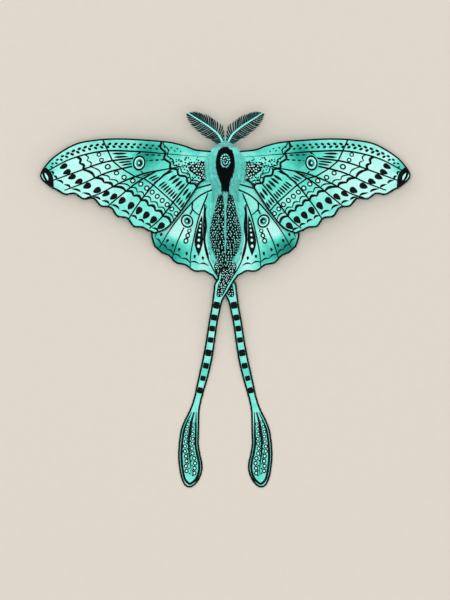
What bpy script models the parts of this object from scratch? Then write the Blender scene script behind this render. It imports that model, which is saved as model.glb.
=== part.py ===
"""A Chinese moon moth at rest with its wings spread flat, life size.

Metres, +Z up. The head points to +Y and the moth's right side is +X. It stands on its feet and on the ends
of its tails at Z = 0. Sizes below are in millimetres, and are turned into metres where the meshes are made.
"""

import math
import random

import bmesh
import bpy
from mathutils import Vector
from mathutils.geometry import delaunay_2d_cdt

MM = 0.001
GAP = 0.3
RIGHT, LEFT = 1, -1
SIDE_NAMES = {RIGHT: "right", LEFT: "left"}

# The body with its coat, from the face to the tip of the abdomen:
# place along it, height of its axis, half width and half height.
BODY_PROFILE = [
    (52.2, 7.2, 0.0, 0.0),
    (52.05, 7.2, 1.1, 1.15),
    (51.65, 7.25, 1.8, 1.95),
    (51.0, 7.35, 2.25, 2.5),
    (50.1, 7.5, 2.6, 2.8),
    (49.8, 7.6, 3.4, 3.4),
    (49.35, 7.7, 4.3, 4.0),
    (48.6, 7.8, 5.1, 4.6),
    (47.0, 7.9, 5.6, 5.0),
    (44.5, 7.9, 5.75, 5.2),
    (41.0, 7.8, 5.5, 5.0),
    (37.8, 7.6, 4.9, 4.5),
    (35.0, 7.3, 4.2, 3.95),
    (32.0, 7.0, 4.1, 3.95),
    (28.0, 6.6, 4.5, 4.2),
    (24.0, 6.15, 5.2, 4.35),
    (20.8, 5.8, 5.35, 4.2),
    (17.0, 5.4, 4.7, 3.6),
    (13.8, 5.15, 3.4, 2.8),
    (11.8, 5.0, 2.2, 1.95),
    (10.5, 4.9, 1.2, 1.2),
    (10.0, 4.9, 0.0, 0.0),
]
NECK_Y = 50.1
WAIST_Y = 35.0
FACE_RINGS_Y = [51.7, 51.35, 50.9]
FACE_TIP_Y = 51.85
NECK_RINGS_Y = [49.7, 49.3]
SHOULDER_Y = 48.6
LAST_RING_Y = 11.2
ABDOMEN_TIP_Y = 10.4
BODY_SIDES = 20
RING_PITCH = 2.4

# The coat: how deep it stands on the core of each part of the body, and its locks.
COAT_DEPTH = {"head": 0.45, "thorax": 0.95, "abdomen": 0.75}
LOCK_ROOT = 0.55
LOCK_THICKNESS = 0.75
LOCK_SHAPE = [(0.0, 0.0, 0.75), (0.32, 0.3, 1.0), (0.68, 0.66, 0.68)]
LOCK_VARIETY = 0.2
LOCK_DRIFT = 0.16
LOCK_GIRTH = 12.0
LOCK_BEND = math.radians(14)
LOCK_EDGE_DROP = 0.15
# Rows of locks by place, and for each arc round the body its two ends in degrees and its count of locks.
HEAD_LOCKS = {
    "rows": [51.0],
    "arcs": [(90, 90, 1), (26, 154, 2), (-112, -68, 2)],
    "length": -1.2,
    "width": 0.95,
}
RUFF_LOCKS = {
    "rows": [48.7],
    "arcs": [(35, 145, 5), (-125, -55, 2)],
    "length": -1.4,
    "width": 1.9,
}
THORAX_LOCKS = {
    "rows": [49.4, 47.1, 44.8, 42.4, 40.0, 37.6],
    "arcs": [(24, 156, 7), (-140, -40, 3)],
    "length": 4.6,
    "width": 2.2,
}
ABDOMEN_LOCKS = {
    "rows": [34.5, 31.4, 28.2, 24.9, 21.6, 18.3, 15.2],
    "arcs": [(16, 164, 6), (-155, -25, 4)],
    "length": 5.0,
    "width": 2.35,
}

# Eyes and the two short mouth feelers under the face.
EYE_RADIUS = 0.95
EYE_PLACE = (1.75, 51.2, 6.9)
EYE_CLEARANCE = EYE_RADIUS + 1.2 * GAP
PALP_PATH = [(0.6, 51.1, 5.9), (0.75, 51.8, 5.6), (0.8, 52.3, 5.6)]
PALP_RADII = (0.5, 0.42, 0.28)

# Feelers: the shaft's path, and the rays of the comb to its inner and outer side.
ANTENNA_PATH = [
    (0.85, 50.6, 8.6), (1.0, 51.2, 9.2), (1.5, 52.3, 9.6), (2.5, 53.8, 9.8), (4.0, 55.1, 10.0),
    (5.7, 56.4, 10.2), (7.4, 57.5, 10.4), (9.3, 58.7, 10.6), (11.2, 59.9, 10.8), (12.3, 60.7, 10.9),
]
ANTENNA_RADII = (0.46, 0.44, 0.4, 0.36, 0.31)
COMB_PITCH = 0.95
COMB_START = 1.2
RAY_ANGLES = (math.radians(72), math.radians(56), math.radians(46), math.radians(38))
RAY_LENGTHS = {"inner": 3.5, "outer": 3.95}
RAY_SHARES = (0.6, 0.95, 1.0, 1.0, 0.87, 0.65, 0.4)
RAY_SIZE = (0.56, 0.34)
RAY_SAG = 0.5
RAY_STEPS = (0.22, 0.64)
RAY_SHAPE = [(-0.04, 1.0), (0.55, 0.92), (1.0, 0.62)]
RAY_CROWN = 0.08
RAY_FROM_MIDDLE = 0.5
ANTENNA_CLEARANCE = 0.85

# Wings: their thickness, and the veins raised on both faces.
WING_THICKNESS = 0.5
VEIN_RISE = 0.28
VEIN_FALL = 0.12
VEIN_HALF_WIDTH = 0.42
VEIN_PITCH = 4.2
VEIN_END = 0.9
VEIN_TAPER = 0.6
WING_CLEARANCE = WING_THICKNESS / 2 + VEIN_RISE + 1.4 * GAP
WING_GRID = 5.0
GRID_CLEARANCE = 2.0
EDGE_PITCH = 2.3
WAVE_PITCH = 1.0

# The forewing's edge, seen from above: its front edge round the tip, its wavy outer edge and its hind edge.
FOREWING_FRONT = [
    (2.6, 47.6), (5.0, 48.3), (7.0, 48.5), (9.9, 48.9), (13.1, 50.1), (18.0, 51.3), (26.0, 52.05),
    (34.5, 52.45), (42.2, 52.05), (48.8, 50.7), (55.3, 46.9), (58.8, 43.3), (60.2, 40.5), (59.3, 38.7),
]
FOREWING_OUTER = [
    (58.2, 37.8), (54.8, 35.4), (49.8, 34.0), (44.0, 32.6),
    (39.0, 30.2), (33.5, 26.7), (28.5, 23.7), (24.2, 22.1),
]
FOREWING_HIND = [
    (23.1, 21.5), (21.2, 22.0), (19.3, 22.9), (17.3, 24.6), (15.4, 27.1), (13.4, 29.8), (11.5, 32.7),
    (9.5, 35.7), (7.9, 38.1), (2.6, 42.0),
]
FOREWING_WAVES = {"count": 6.0, "height": 0.55, "start": 0.4}
FOREWING_VEINS = [
    [(4.4, 47.2), (12.0, 48.5), (22.0, 50.3), (33.0, 51.0), (44.0, 50.6)],
    [(4.4, 46.2), (14.0, 46.9), (22.0, 47.6), (30.0, 48.2), (40.0, 48.2), (50.0, 45.8), (58.6, 41.4)],
    [(27.5, 48.0), (29.2, 46.0), (29.0, 43.6), (26.5, 40.9)],
    [(29.2, 46.0), (39.0, 44.7), (49.0, 41.3), (57.4, 38.3)],
    [(29.0, 43.6), (38.0, 41.4), (46.0, 37.9), (52.2, 35.6)],
    [(4.4, 44.6), (12.0, 43.6), (20.0, 42.2), (26.5, 40.9), (34.0, 38.0), (40.5, 34.6), (45.0, 33.2)],
    [(22.5, 41.7), (29.0, 37.8), (34.5, 33.4), (38.6, 30.0)],
    [(17.0, 42.8), (23.0, 37.6), (28.0, 31.4), (31.4, 26.2)],
    [(4.4, 43.4), (10.0, 39.6), (16.0, 32.8), (21.0, 26.4), (24.6, 23.2)],
]

# The hindwing's edge: its front edge under the forewing, its wavy outer edge, and its inner edge by the body.
HINDWING_FRONT = [
    (2.6, 40.0), (6.5, 39.2), (11.0, 37.2), (17.5, 33.6),
    (21.8, 29.3), (23.8, 24.8), (24.1, 21.0), (23.5, 18.5),
]
HINDWING_OUTER = [
    (23.0, 17.2), (20.4, 15.2), (17.0, 12.9), (13.0, 10.8), (8.9, 9.2), (6.2, 8.7), (4.3, 7.9),
]
HINDWING_INNER = [
    (-2.3, 8.6), (-1.2, 10.6), (0.2, 13.0), (0.8, 18.0), (1.2, 25.0), (1.6, 32.0), (2.2, 37.0),
]
HINDWING_WAVES = {"count": 3.3, "height": 0.35, "start": 0.15}
HINDWING_VEINS = [
    [(4.2, 37.6), (10.5, 35.6), (16.5, 31.6), (20.6, 26.2), (22.8, 20.4)],
    [(4.2, 35.8), (8.5, 33.6), (12.6, 29.6), (17.5, 23.4), (21.4, 17.0)],
    [(10.6, 31.6), (10.6, 29.4), (8.4, 27.4)],
    [(10.6, 29.4), (13.2, 24.0), (15.8, 18.2), (17.2, 13.6)],
    [(5.6, 34.6), (8.4, 27.4), (10.0, 21.0), (11.2, 15.0), (11.4, 10.8)],
    [(6.6, 31.0), (7.0, 24.0), (6.4, 16.0), (3.6, 9.4), (0.2, 5.2), (-2.0, 1.2)],
]

# The tail streamer of the right wing, which crosses to the left: (y, middle, half width).
TAIL_STATIONS = [
    (7.2, 0.8, 3.0), (6.2, 0.0, 3.05), (5.0, -0.7, 2.95), (3.0, -1.35, 2.5),
    (0.0, -2.45, 1.78), (-1.8, -2.9, 1.6), (-7.3, -3.95, 1.52), (-13.8, -4.9, 1.54),
    (-19.6, -5.92, 1.64), (-25.5, -7.27, 1.6), (-31.1, -8.64, 1.4), (-33.7, -9.37, 1.46),
    (-36.2, -10.1, 1.75), (-39.0, -10.85, 2.4), (-41.9, -11.45, 2.95), (-44.1, -11.7, 3.15),
    (-47.0, -11.9, 3.3), (-50.4, -11.72, 3.65), (-52.7, -11.4, 3.87), (-55.0, -11.2, 3.8),
    (-57.0, -11.25, 3.4), (-58.7, -11.4, 2.75), (-60.2, -11.6, 1.8), (-61.0, -11.7, 0.7),
]
STREAMER_TOP_Y = -2.0
PADDLE_TOP_Y = -35.0

# Heights of the wings: at the root, how they droop outwards and backwards, and where the tails start to sink
# to the floor. Where the tails cross, the right one passes over the left one.
FOREWING_ROOT_Z = 9.2
FOREWING_DROOP = 0.085
FOREWING_CAMBER = 0.0012
HINDWING_ROOT_Z = 7.6
HINDWING_DROOP = 0.10
TAIL_START_Y = 8.0
CROSSING_LIFT = 0.8
CROSSING = (17.0, 10.5, 0.0, -9.0)

# Legs of the right side: hip, knee, ankle and toe, all under the wings.
LEGS = {
    "front": [(2.4, 46.2, 4.8), (6.1, 46.9, 5.2), (8.4, 47.2, 0.9), (11.8, 47.8, 0.3)],
    "middle": [(2.6, 42.4, 4.6), (7.3, 42.0, 5.3), (10.2, 41.5, 0.9), (14.2, 40.8, 0.3)],
    "hind": [(2.4, 38.6, 4.8), (6.8, 35.6, 5.2), (8.9, 32.8, 0.9), (11.4, 29.6, 0.3)],
}
LEG_RADII = (0.75, 0.8, 0.5, 0.55, 0.4, 0.38, 0.34)
LEG_PITCH = 1.2
LEG_CLEARANCE = 1.25

COLOURS = {
    "wing": (0.36, 0.83, 0.73, 1),
    "coat": (0.55, 0.87, 0.80, 1),
    "feeler": (0.03, 0.07, 0.07, 1),
    "eye": (0.01, 0.012, 0.012, 1),
    "leg": (0.12, 0.30, 0.28, 1),
}
ROUGHNESS = {"wing": 0.7, "coat": 0.9, "feeler": 0.6, "eye": 0.15, "leg": 0.8}


def clear_scene():
    for obj in list(bpy.data.objects):
        bpy.data.objects.remove(obj, do_unlink=True)


def material(name):
    made = bpy.data.materials.get(name)
    if made is None:
        made = bpy.data.materials.new(name)
        made.use_nodes = True
        shader = made.node_tree.nodes["Principled BSDF"]
        shader.inputs["Base Color"].default_value = COLOURS[name]
        shader.inputs["Roughness"].default_value = ROUGHNESS[name]
        shader.inputs["Metallic"].default_value = 0.0
    return made


def new_object(name, points, faces, finish):
    """An object from points in millimetres, with its faces made to point outwards."""
    mesh = bpy.data.meshes.new(name)
    mesh.from_pydata([tuple(c * MM for c in p) for p in points], [], faces)
    work = bmesh.new()
    work.from_mesh(mesh)
    bmesh.ops.recalc_face_normals(work, faces=work.faces)
    work.to_mesh(mesh)
    work.free()
    obj = bpy.data.objects.new(name, mesh)
    obj.data.materials.append(material(finish))
    bpy.context.scene.collection.objects.link(obj)
    return obj


def apply_boolean(obj, operation, others):
    """Joins closed objects to obj, or cuts them from it, and removes them."""
    group = bpy.data.collections.new(obj.name + "_others")
    for other in others:
        group.objects.link(other)
    modifier = obj.modifiers.new(operation.title(), "BOOLEAN")
    modifier.operation = operation
    modifier.operand_type = "COLLECTION"
    modifier.collection = group
    modifier.solver = "EXACT"
    graph = bpy.context.evaluated_depsgraph_get()
    mesh = bpy.data.meshes.new_from_object(obj.evaluated_get(graph))
    obj.modifiers.clear()
    obj.data = mesh
    for other in others:
        bpy.data.objects.remove(other, do_unlink=True)
    bpy.data.collections.remove(group)
    keep_largest(obj)


def keep_largest(obj):
    """Leaves only the largest closed surface, so that no scrap or sealed hollow stays."""
    work = bmesh.new()
    work.from_mesh(obj.data)
    left = set(work.faces)
    islands = []
    while left:
        island = []
        front = [left.pop()]
        while front:
            face = front.pop()
            island.append(face)
            for edge in face.edges:
                for other in edge.link_faces:
                    if other in left:
                        left.discard(other)
                        front.append(other)
        islands.append(island)
    islands.sort(key=len)
    drop = [face for island in islands[:-1] for face in island]
    bmesh.ops.delete(work, geom=drop, context="FACES")
    work.to_mesh(obj.data)
    work.free()


def shade(obj, angle=40):
    obj.data.shade_smooth()
    obj.data.set_sharp_from_angle(angle=math.radians(angle))


def between(points, place):
    """The point at a place, counted in points, along a smooth curve through them."""
    last = len(points) - 1
    i = max(0, min(int(place), last - 1))
    t = place - i
    p1, p2 = points[i], points[i + 1]
    p0 = points[i - 1] if i > 0 else tuple(2 * a - b for a, b in zip(p1, p2))
    p3 = points[i + 2] if i + 2 <= last else tuple(2 * b - a for a, b in zip(p1, p2))
    return tuple(
        0.5 * (2 * b + (c - a) * t + (2 * a - 5 * b + 4 * c - d) * t**2 + (3 * b - a - 3 * c + d) * t**3)
        for a, b, c, d in zip(p0, p1, p2, p3)
    )


def smooth(points, spacing):
    """Points spaced about evenly along a smooth curve through the given ones, with both ends."""
    fine = [between(points, i / 12) for i in range(12 * (len(points) - 1) + 1)]
    lengths = [0.0]
    for a, b in zip(fine, fine[1:]):
        lengths.append(lengths[-1] + math.dist(a, b))
    count = max(1, round(lengths[-1] / spacing))
    made, k = [], 0
    for n in range(count + 1):
        wanted = lengths[-1] * n / count
        while k < len(fine) - 2 and lengths[k + 1] < wanted:
            k += 1
        share = (wanted - lengths[k]) / max(lengths[k + 1] - lengths[k], 1e-9)
        share = min(1.0, max(0.0, share))
        made.append(tuple(a + (b - a) * share for a, b in zip(fine[k], fine[k + 1])))
    return made


def blend(values, share):
    """The value at a share, 0 to 1, of the way through evenly spaced values."""
    place = share * (len(values) - 1)
    k = min(int(place), len(values) - 2)
    return values[k] + (values[k + 1] - values[k]) * (place - k)


def ramp(value, start, end):
    share = min(1.0, max(0.0, (value - start) / (end - start)))
    return share * share * (3 - 2 * share)


# The body.


def profile_at(y):
    """Axis height, half width and half height of the coated body at a place along it."""
    rows = BODY_PROFILE
    i = next((k for k in range(len(rows) - 1) if rows[k][0] >= y >= rows[k + 1][0]), len(rows) - 2)
    share = (rows[i][0] - y) / (rows[i][0] - rows[i + 1][0])
    found = between(rows, i + min(1.0, max(0.0, share)))
    return found[1], found[2], found[3]


def coat_depth(y):
    if y > NECK_Y:
        return COAT_DEPTH["head"]
    return COAT_DEPTH["thorax"] if y > WAIST_Y else COAT_DEPTH["abdomen"]


def body_point(y, angle, rise):
    """A point over the core of the body: the angle runs round from the moth's right, over its back."""
    z, wide, high = profile_at(y)
    grow = rise - coat_depth(y)
    wide, high = max(wide + grow, 0.2), max(high + grow, 0.2)
    return (wide * math.cos(angle), y, z + high * math.sin(angle))


def ring(y, rise=0.0):
    return [body_point(y, 2 * math.pi * k / BODY_SIDES, rise) for k in range(BODY_SIDES)]


def loft(rings, front_tip=None, back_tip=None):
    """Points and faces of a closed skin over rings of equal counts, ending flat or in a tip."""
    count = len(rings[0])
    points = [p for r in rings for p in r]
    faces = []
    for i in range(len(rings) - 1):
        for k in range(count):
            a, b = i * count + k, i * count + (k + 1) % count
            faces.append((a, b, b + count, a + count))
    last = (len(rings) - 1) * count
    for start, tip in ((0, front_tip), (last, back_tip)):
        if tip is None:
            faces.append(tuple(range(start, start + count)))
        else:
            points.append(tip)
            end = len(points) - 1
            faces += [(start + k, start + (k + 1) % count, end) for k in range(count)]
    return points, faces


def places(start, end):
    """Places for rings from one end of a part of the body to the other."""
    count = max(2, round(abs(start - end) / RING_PITCH))
    return [start + (end - start) * n / count for n in range(count + 1)]


HEAD_RINGS = FACE_RINGS_Y + [NECK_Y + GAP / 2]
THORAX_RINGS = [NECK_Y - GAP / 2] + NECK_RINGS_Y + places(SHOULDER_Y, WAIST_Y + GAP / 2)
ABDOMEN_RINGS = places(WAIST_Y - GAP / 2, LAST_RING_Y)


def axis_point(y):
    return (0.0, y, profile_at(y)[0])


def head_core(name, rise=0.0):
    points, faces = loft([ring(y, rise) for y in HEAD_RINGS], front_tip=axis_point(FACE_TIP_Y + rise))
    return new_object(name, points, faces, "coat")


def body_clearance():
    """The thorax and abdomen grown by the gap, to cut what grows from them."""
    rings = [ring(y, GAP) for y in THORAX_RINGS + ABDOMEN_RINGS]
    points, faces = loft(rings, back_tip=axis_point(ABDOMEN_TIP_Y - GAP))
    return new_object("body_clearance", points, faces, "coat")


def make_head():
    head = head_core("head")
    pieces = []
    for side in (RIGHT, LEFT):
        path = smooth([(x * side, y, z) for x, y, z in PALP_PATH], 0.6)
        pieces.append(tube(f"palp_{side}", path, PALP_RADII, 6, "coat"))
    apply_boolean(head, "UNION", pieces + make_locks("head", HEAD_LOCKS))
    sockets = []
    for side in (RIGHT, LEFT):
        place = (EYE_PLACE[0] * side, EYE_PLACE[1], EYE_PLACE[2])
        shade(ball(f"eye_{SIDE_NAMES[side]}", place, EYE_RADIUS, "eye"))
        sockets.append(ball(f"socket_{side}", place, EYE_RADIUS + GAP, "eye"))
    apply_boolean(head, "DIFFERENCE", sockets)
    shade(head)


def make_thorax():
    points, faces = loft([ring(y) for y in THORAX_RINGS])
    thorax = new_object("thorax", points, faces, "coat")
    apply_boolean(thorax, "UNION", make_locks("thorax", THORAX_LOCKS) + make_locks("thorax", RUFF_LOCKS))
    shade(thorax)


def make_abdomen():
    points, faces = loft([ring(y) for y in ABDOMEN_RINGS], back_tip=axis_point(ABDOMEN_TIP_Y))
    abdomen = new_object("abdomen", points, faces, "coat")
    apply_boolean(abdomen, "UNION", make_locks("abdomen", ABDOMEN_LOCKS))
    shade(abdomen)


def ball(name, centre, radius, finish, segments=14, rings=9):
    rows = []
    for i in range(1, rings):
        a = math.pi * i / rings
        x, r = centre[0] + radius * math.cos(a), radius * math.sin(a)
        turns = [2 * math.pi * k / segments for k in range(segments)]
        rows.append([(x, centre[1] + r * math.cos(t), centre[2] + r * math.sin(t)) for t in turns])
    tips = [(centre[0] + radius * s, centre[1], centre[2]) for s in (1, -1)]
    points, faces = loft(rows, front_tip=tips[0], back_tip=tips[1])
    return new_object(name, points, faces, finish)


def tube(name, path, radii, sides, finish):
    """A tapered tube along a path, with flat ends."""
    rings = []
    for i, point in enumerate(path):
        ahead = Vector(path[min(i + 1, len(path) - 1)])
        behind = Vector(path[max(i - 1, 0)])
        along = (ahead - behind).normalized()
        across = along.cross(Vector((0, 0, 1))).normalized()
        up = across.cross(along).normalized()
        radius = blend(radii, i / (len(path) - 1))
        turns = [2 * math.pi * (n + 0.5) / sides for n in range(sides)]
        spokes = [across * (radius * math.cos(t)) + up * (radius * math.sin(t)) for t in turns]
        rings.append([tuple(Vector(point) + spoke) for spoke in spokes])
    points, faces = loft(rings)
    return new_object(name, points, faces, finish)


# The coat.


def make_locks(part, plan):
    """Rows of locks lying backwards over a part of the body (forwards, if their length is negative)."""
    chance = random.Random(part)
    limits = {
        "head": (NECK_Y + GAP, BODY_PROFILE[0][0]),
        "thorax": (WAIST_Y + GAP, NECK_Y - GAP),
        "abdomen": (BODY_PROFILE[-1][0], WAIST_Y - GAP),
    }
    low, high = limits[part]
    others = neighbours(part)
    made = []
    for row, y in enumerate(plan["rows"]):
        for arc, (first, last, most) in enumerate(plan["arcs"]):
            count = min(most, 2 + round(most * sum(profile_at(y)[1:]) / LOCK_GIRTH))
            step = (last - first) / max(count - 1, 1)
            moved = step / 2 * (row % 2)
            for k in range(count - row % 2 if count > 1 else 1):
                end = min(high, max(low, y - plan["length"] * vary(chance)))
                width = plan["width"] * vary(chance)
                drift = chance.uniform(-LOCK_DRIFT, LOCK_DRIFT)
                points = clear_lock(others, y, end, math.radians(first + moved + step * k), width, drift)
                if points:
                    made.append(lock(f"{part}_lock_{y}_{arc}_{k}", points))
    return made


def vary(chance):
    return 1 + chance.uniform(-LOCK_VARIETY, LOCK_VARIETY)


def neighbours(part):
    """What locks keep off: the wings' outlines and heights, and spheres round the right side's parts."""
    sheets = [
        (forewing_outline(), forewing_height),
        (hindwing_outline(), hindwing_height(RIGHT)),
        (hindwing_outline(), hindwing_height(LEFT)),
    ]
    if part == "head":
        spheres = [(EYE_PLACE, EYE_CLEARANCE)]
        spheres += [(p, ANTENNA_CLEARANCE) for p in smooth(ANTENNA_PATH[:3], 0.4)]
    else:
        spheres = [(p, LEG_CLEARANCE) for joints in LEGS.values() for p in smooth(joints, 0.5)]
    return sheets, spheres


def clear_lock(others, start, end, angle, width, drift):
    """A lock that keeps off its neighbours, moved towards the back or the belly if it has to be."""
    away = LOCK_BEND * (1 if math.cos(angle) > 0 else -1) * (1 if math.sin(angle) > 0 else -1)
    for tries in range(3):
        points = lock_points(start, end, angle + away * tries, width, drift)
        if clear_of_others(points, others):
            return points
    return None


def lock_points(start, end, angle, width, drift):
    """Three rings of four points and a tip, from a root sunk in the body to the coat's surface."""
    depth = coat_depth(start)
    thick = min(LOCK_THICKNESS, depth)
    rings = []
    for share, height, wide in LOCK_SHAPE:
        rise = depth * height if share else -LOCK_ROOT
        y = start + (end - start) * share
        turned = angle + drift * share
        half = width * wide / sum(profile_at(y)[1:])
        rings.append(
            [
                body_point(y, turned, rise + thick / 2),
                body_point(y, turned + half, rise - thick * LOCK_EDGE_DROP),
                body_point(y, turned, rise - thick / 2),
                body_point(y, turned - half, rise - thick * LOCK_EDGE_DROP),
            ]
        )
    return rings, body_point(end, angle + drift, depth)


def lock(name, points):
    rings, tip = points
    points, faces = loft(rings, back_tip=tip)
    return new_object(name, points, faces, "coat")


def clear_of_others(points, others):
    """Whether a lock keeps off the wings, legs, eyes and feelers."""
    rings, tip = points
    sheets, spheres = others
    spots = [p for r in rings[1:] for p in r] + [tip]
    spots += [tuple((a + b) / 2 for a, b in zip(p, tip)) for p in rings[-1]]
    for x, y, z in spots:
        right = (abs(x), y)
        for outline, height in sheets:
            if inside(right, outline) and abs(z - height(*right)) < WING_CLEARANCE:
                return False
        for centre, keep_off in spheres:
            if math.dist((abs(x), y, z), centre) < keep_off:
                return False
    return True


# Wings.


def plate(name, outline, veins, height, finish, side=RIGHT):
    """A thin closed plate over an outline, with raised veins. Its two faces have the same triangles."""
    lines = [line for vein in veins for line in vein_lines(vein)]
    points = [Vector(p) for p in outline]
    edges = [(i, (i + 1) % len(outline)) for i in range(len(outline))]
    for line in lines:
        start = len(points)
        points += [Vector(p) for p in line]
        edges += [(start + i, start + i + 1) for i in range(len(line) - 1)]
    points += inner_points(outline, lines)
    made = delaunay_2d_cdt(points, edges, [list(range(len(outline)))], 1, 1e-4)
    flat, triangles = made[0], [list(t) for t in made[2]]
    triangles = [t if turn(flat, t) > 0 else t[::-1] for t in triangles]
    centres = [smooth(vein, 1.0) for vein in veins]
    upper, lower = [], []
    for x, y in flat:
        share = vein_share(x, y, centres)
        middle = height(x, y)
        upper.append((x * side, y, middle + WING_THICKNESS / 2 + VEIN_RISE * share))
        lower.append((x * side, y, max(0.0, middle - WING_THICKNESS / 2 - VEIN_FALL * share)))
    count = len(flat)
    faces = [tuple(t) for t in triangles] + [tuple(v + count for v in t[::-1]) for t in triangles]
    directed = {(t[i], t[(i + 1) % 3]) for t in triangles for i in range(3)}
    for a, b in sorted(directed):
        if (b, a) not in directed:
            faces += [(b, a, a + count), (b, a + count, b + count)]
    keep = sorted({v for f in faces for v in f})
    index = {old: new for new, old in enumerate(keep)}
    both = upper + lower
    return new_object(name, [both[v] for v in keep], [tuple(index[v] for v in f) for f in faces], finish)


def vein_lines(vein):
    """A vein's middle line and the feet of the ridge on both sides of it."""
    middle = [p[:2] for p in smooth(vein, VEIN_PITCH)]
    lines = [middle]
    for hand in (1, -1):
        foot = []
        for i in range(1, len(middle) - 1):
            along = (Vector(middle[i + 1]) - Vector(middle[i - 1])).normalized()
            reach = VEIN_HALF_WIDTH * hand
            foot.append((middle[i][0] - along.y * reach, middle[i][1] + along.x * reach))
        if len(foot) > 1:
            lines.append(foot)
    return lines


def vein_share(x, y, centres):
    """One on a vein's middle line, falling to nothing at the foot of its ridge and lower at its ends."""
    best = 0.0
    for line in centres:
        for i in range(len(line) - 1):
            a, b = Vector(line[i]), Vector(line[i + 1])
            step = b - a
            t = min(1.0, max(0.0, (Vector((x, y)) - a).dot(step) / step.length_squared))
            distance = (a + step * t - Vector((x, y))).length
            place = (i + t) / (len(line) - 1)
            taper = 1.0 - VEIN_TAPER * place
            best = max(best, taper * (1.0 - distance / VEIN_HALF_WIDTH))
    return best


def turn(flat, t):
    a, b, c = (flat[v] for v in t)
    return (b[0] - a[0]) * (c[1] - a[1]) - (b[1] - a[1]) * (c[0] - a[0])


def inside(point, outline):
    x, y = point
    found = False
    for (x1, y1), (x2, y2) in zip(outline, outline[1:] + outline[:1]):
        if (y1 > y) != (y2 > y) and x < (x2 - x1) * (y - y1) / (y2 - y1) + x1:
            found = not found
    return found


def inner_points(outline, lines):
    """Points of an even grid inside the outline, clear of its edge and of the lines."""
    near = list(outline) + [p for line in lines for p in line]
    xs, ys = [p[0] for p in outline], [p[1] for p in outline]
    rows = int((max(ys) - min(ys)) / WING_GRID)
    columns = int((max(xs) - min(xs)) / WING_GRID)
    made = []
    for j in range(1, rows + 1):
        for i in range(columns + 1):
            spot = (min(xs) + (i + (j % 2) / 2) * WING_GRID, min(ys) + j * WING_GRID)
            if inside(spot, outline) and min(math.dist(spot, p) for p in near) > GRID_CLEARANCE:
                made.append(Vector(spot))
    return made


def wavy(points, waves):
    """A smooth curve with even waves across it."""
    curve = smooth(points, WAVE_PITCH)
    made = []
    for i, point in enumerate(curve):
        ahead = Vector(curve[min(i + 1, len(curve) - 1)])
        behind = Vector(curve[max(i - 1, 0)])
        along = (ahead - behind).normalized()
        share = i / (len(curve) - 1)
        wave = math.cos(2 * math.pi * (waves["count"] * share + waves["start"]))
        offset = waves["height"] * wave * min(1.0, 4 * share, 8 * (1 - share))
        made.append((point[0] + along.y * offset, point[1] - along.x * offset))
    return made


def forewing_outline():
    front = smooth(FOREWING_FRONT, EDGE_PITCH)
    outer = wavy(FOREWING_OUTER, FOREWING_WAVES)
    hind = smooth(FOREWING_HIND, EDGE_PITCH)
    return front + outer + hind


def hindwing_outline():
    front = smooth(HINDWING_FRONT, EDGE_PITCH)
    outer = wavy(HINDWING_OUTER, HINDWING_WAVES)
    right, left = tail_edges(TAIL_STATIONS[0][0] - 0.4, STREAMER_TOP_Y)
    return front + outer + right + left + smooth(HINDWING_INNER, EDGE_PITCH)


def tail_edges(top, bottom):
    """Both edges of the streamer between two places: the outer one downwards, the inner one upwards."""
    count = max(2, round((top - bottom) / EDGE_PITCH))
    outer, inner = [], []
    for n in range(count + 1):
        y = top + (bottom - top) * n / count
        middle, half = tail_at(y)
        outer.append((middle + half, y))
        inner.append((middle - half, y))
    return outer, inner[::-1]


def tail_at(y):
    rows = TAIL_STATIONS
    i = next((k for k in range(len(rows) - 1) if rows[k][0] >= y >= rows[k + 1][0]), len(rows) - 2)
    found = between(rows, i + (rows[i][0] - y) / (rows[i][0] - rows[i + 1][0]))
    return found[1], found[2]


def midrib(top, bottom):
    """The vein along the middle of the streamer."""
    count = max(2, round((top - bottom) / VEIN_PITCH))
    ys = [top + (bottom - top) * n / count for n in range(count + 1)]
    return [(tail_at(y)[0], y) for y in ys]


def forewing_height(x, y):
    return FOREWING_ROOT_Z - FOREWING_DROOP * (x - 5.0) - FOREWING_CAMBER * (52.0 - y) ** 2


def hindwing_height(side):
    """The height of a hindwing's middle surface, which differs by side where the tails cross."""
    floor = WING_THICKNESS / 2

    def height(x, y):
        level = HINDWING_ROOT_Z - HINDWING_DROOP * (math.hypot(x, 4.0) - 6.4)
        level -= HINDWING_DROOP * (38.0 - max(y, TAIL_START_Y))
        if y < TAIL_START_Y:
            share = max(0.0, (y - PADDLE_TOP_Y) / (TAIL_START_Y - PADDLE_TOP_Y))
            level = floor + (level - floor) * (2.1 * share**2 - 1.1 * share**3)
        start, full, hold, end = CROSSING
        lift = ramp(y, start, full) if y > full else ramp(y, end, hold)
        return level + side * CROSSING_LIFT * lift

    return height


def make_wings():
    for side in (RIGHT, LEFT):
        name = SIDE_NAMES[side]
        fore = plate(f"forewing_{name}", forewing_outline(), FOREWING_VEINS, forewing_height, "wing", side)
        apply_boolean(fore, "DIFFERENCE", [body_clearance()])
        shade(fore)
        height = hindwing_height(side)
        hind = plate(f"hindwing_{name}", hindwing_outline(), HINDWING_VEINS, height, "wing", side)
        apply_boolean(hind, "DIFFERENCE", [body_clearance()])
        shade(hind)
        outer, inner = tail_edges(STREAMER_TOP_Y - GAP, PADDLE_TOP_Y)
        rib = [midrib(STREAMER_TOP_Y - GAP - VEIN_END, PADDLE_TOP_Y + VEIN_END)]
        shade(plate(f"tail_{name}", outer + inner, rib, height, "wing", side))
        outer, inner = tail_edges(PADDLE_TOP_Y - GAP, TAIL_STATIONS[-1][0])
        rib = [midrib(PADDLE_TOP_Y - GAP - VEIN_END, TAIL_STATIONS[-1][0] + 3 * VEIN_END)]
        shade(plate(f"tail_end_{name}", outer + inner, rib, height, "wing", side))


# Feelers and legs.


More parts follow.
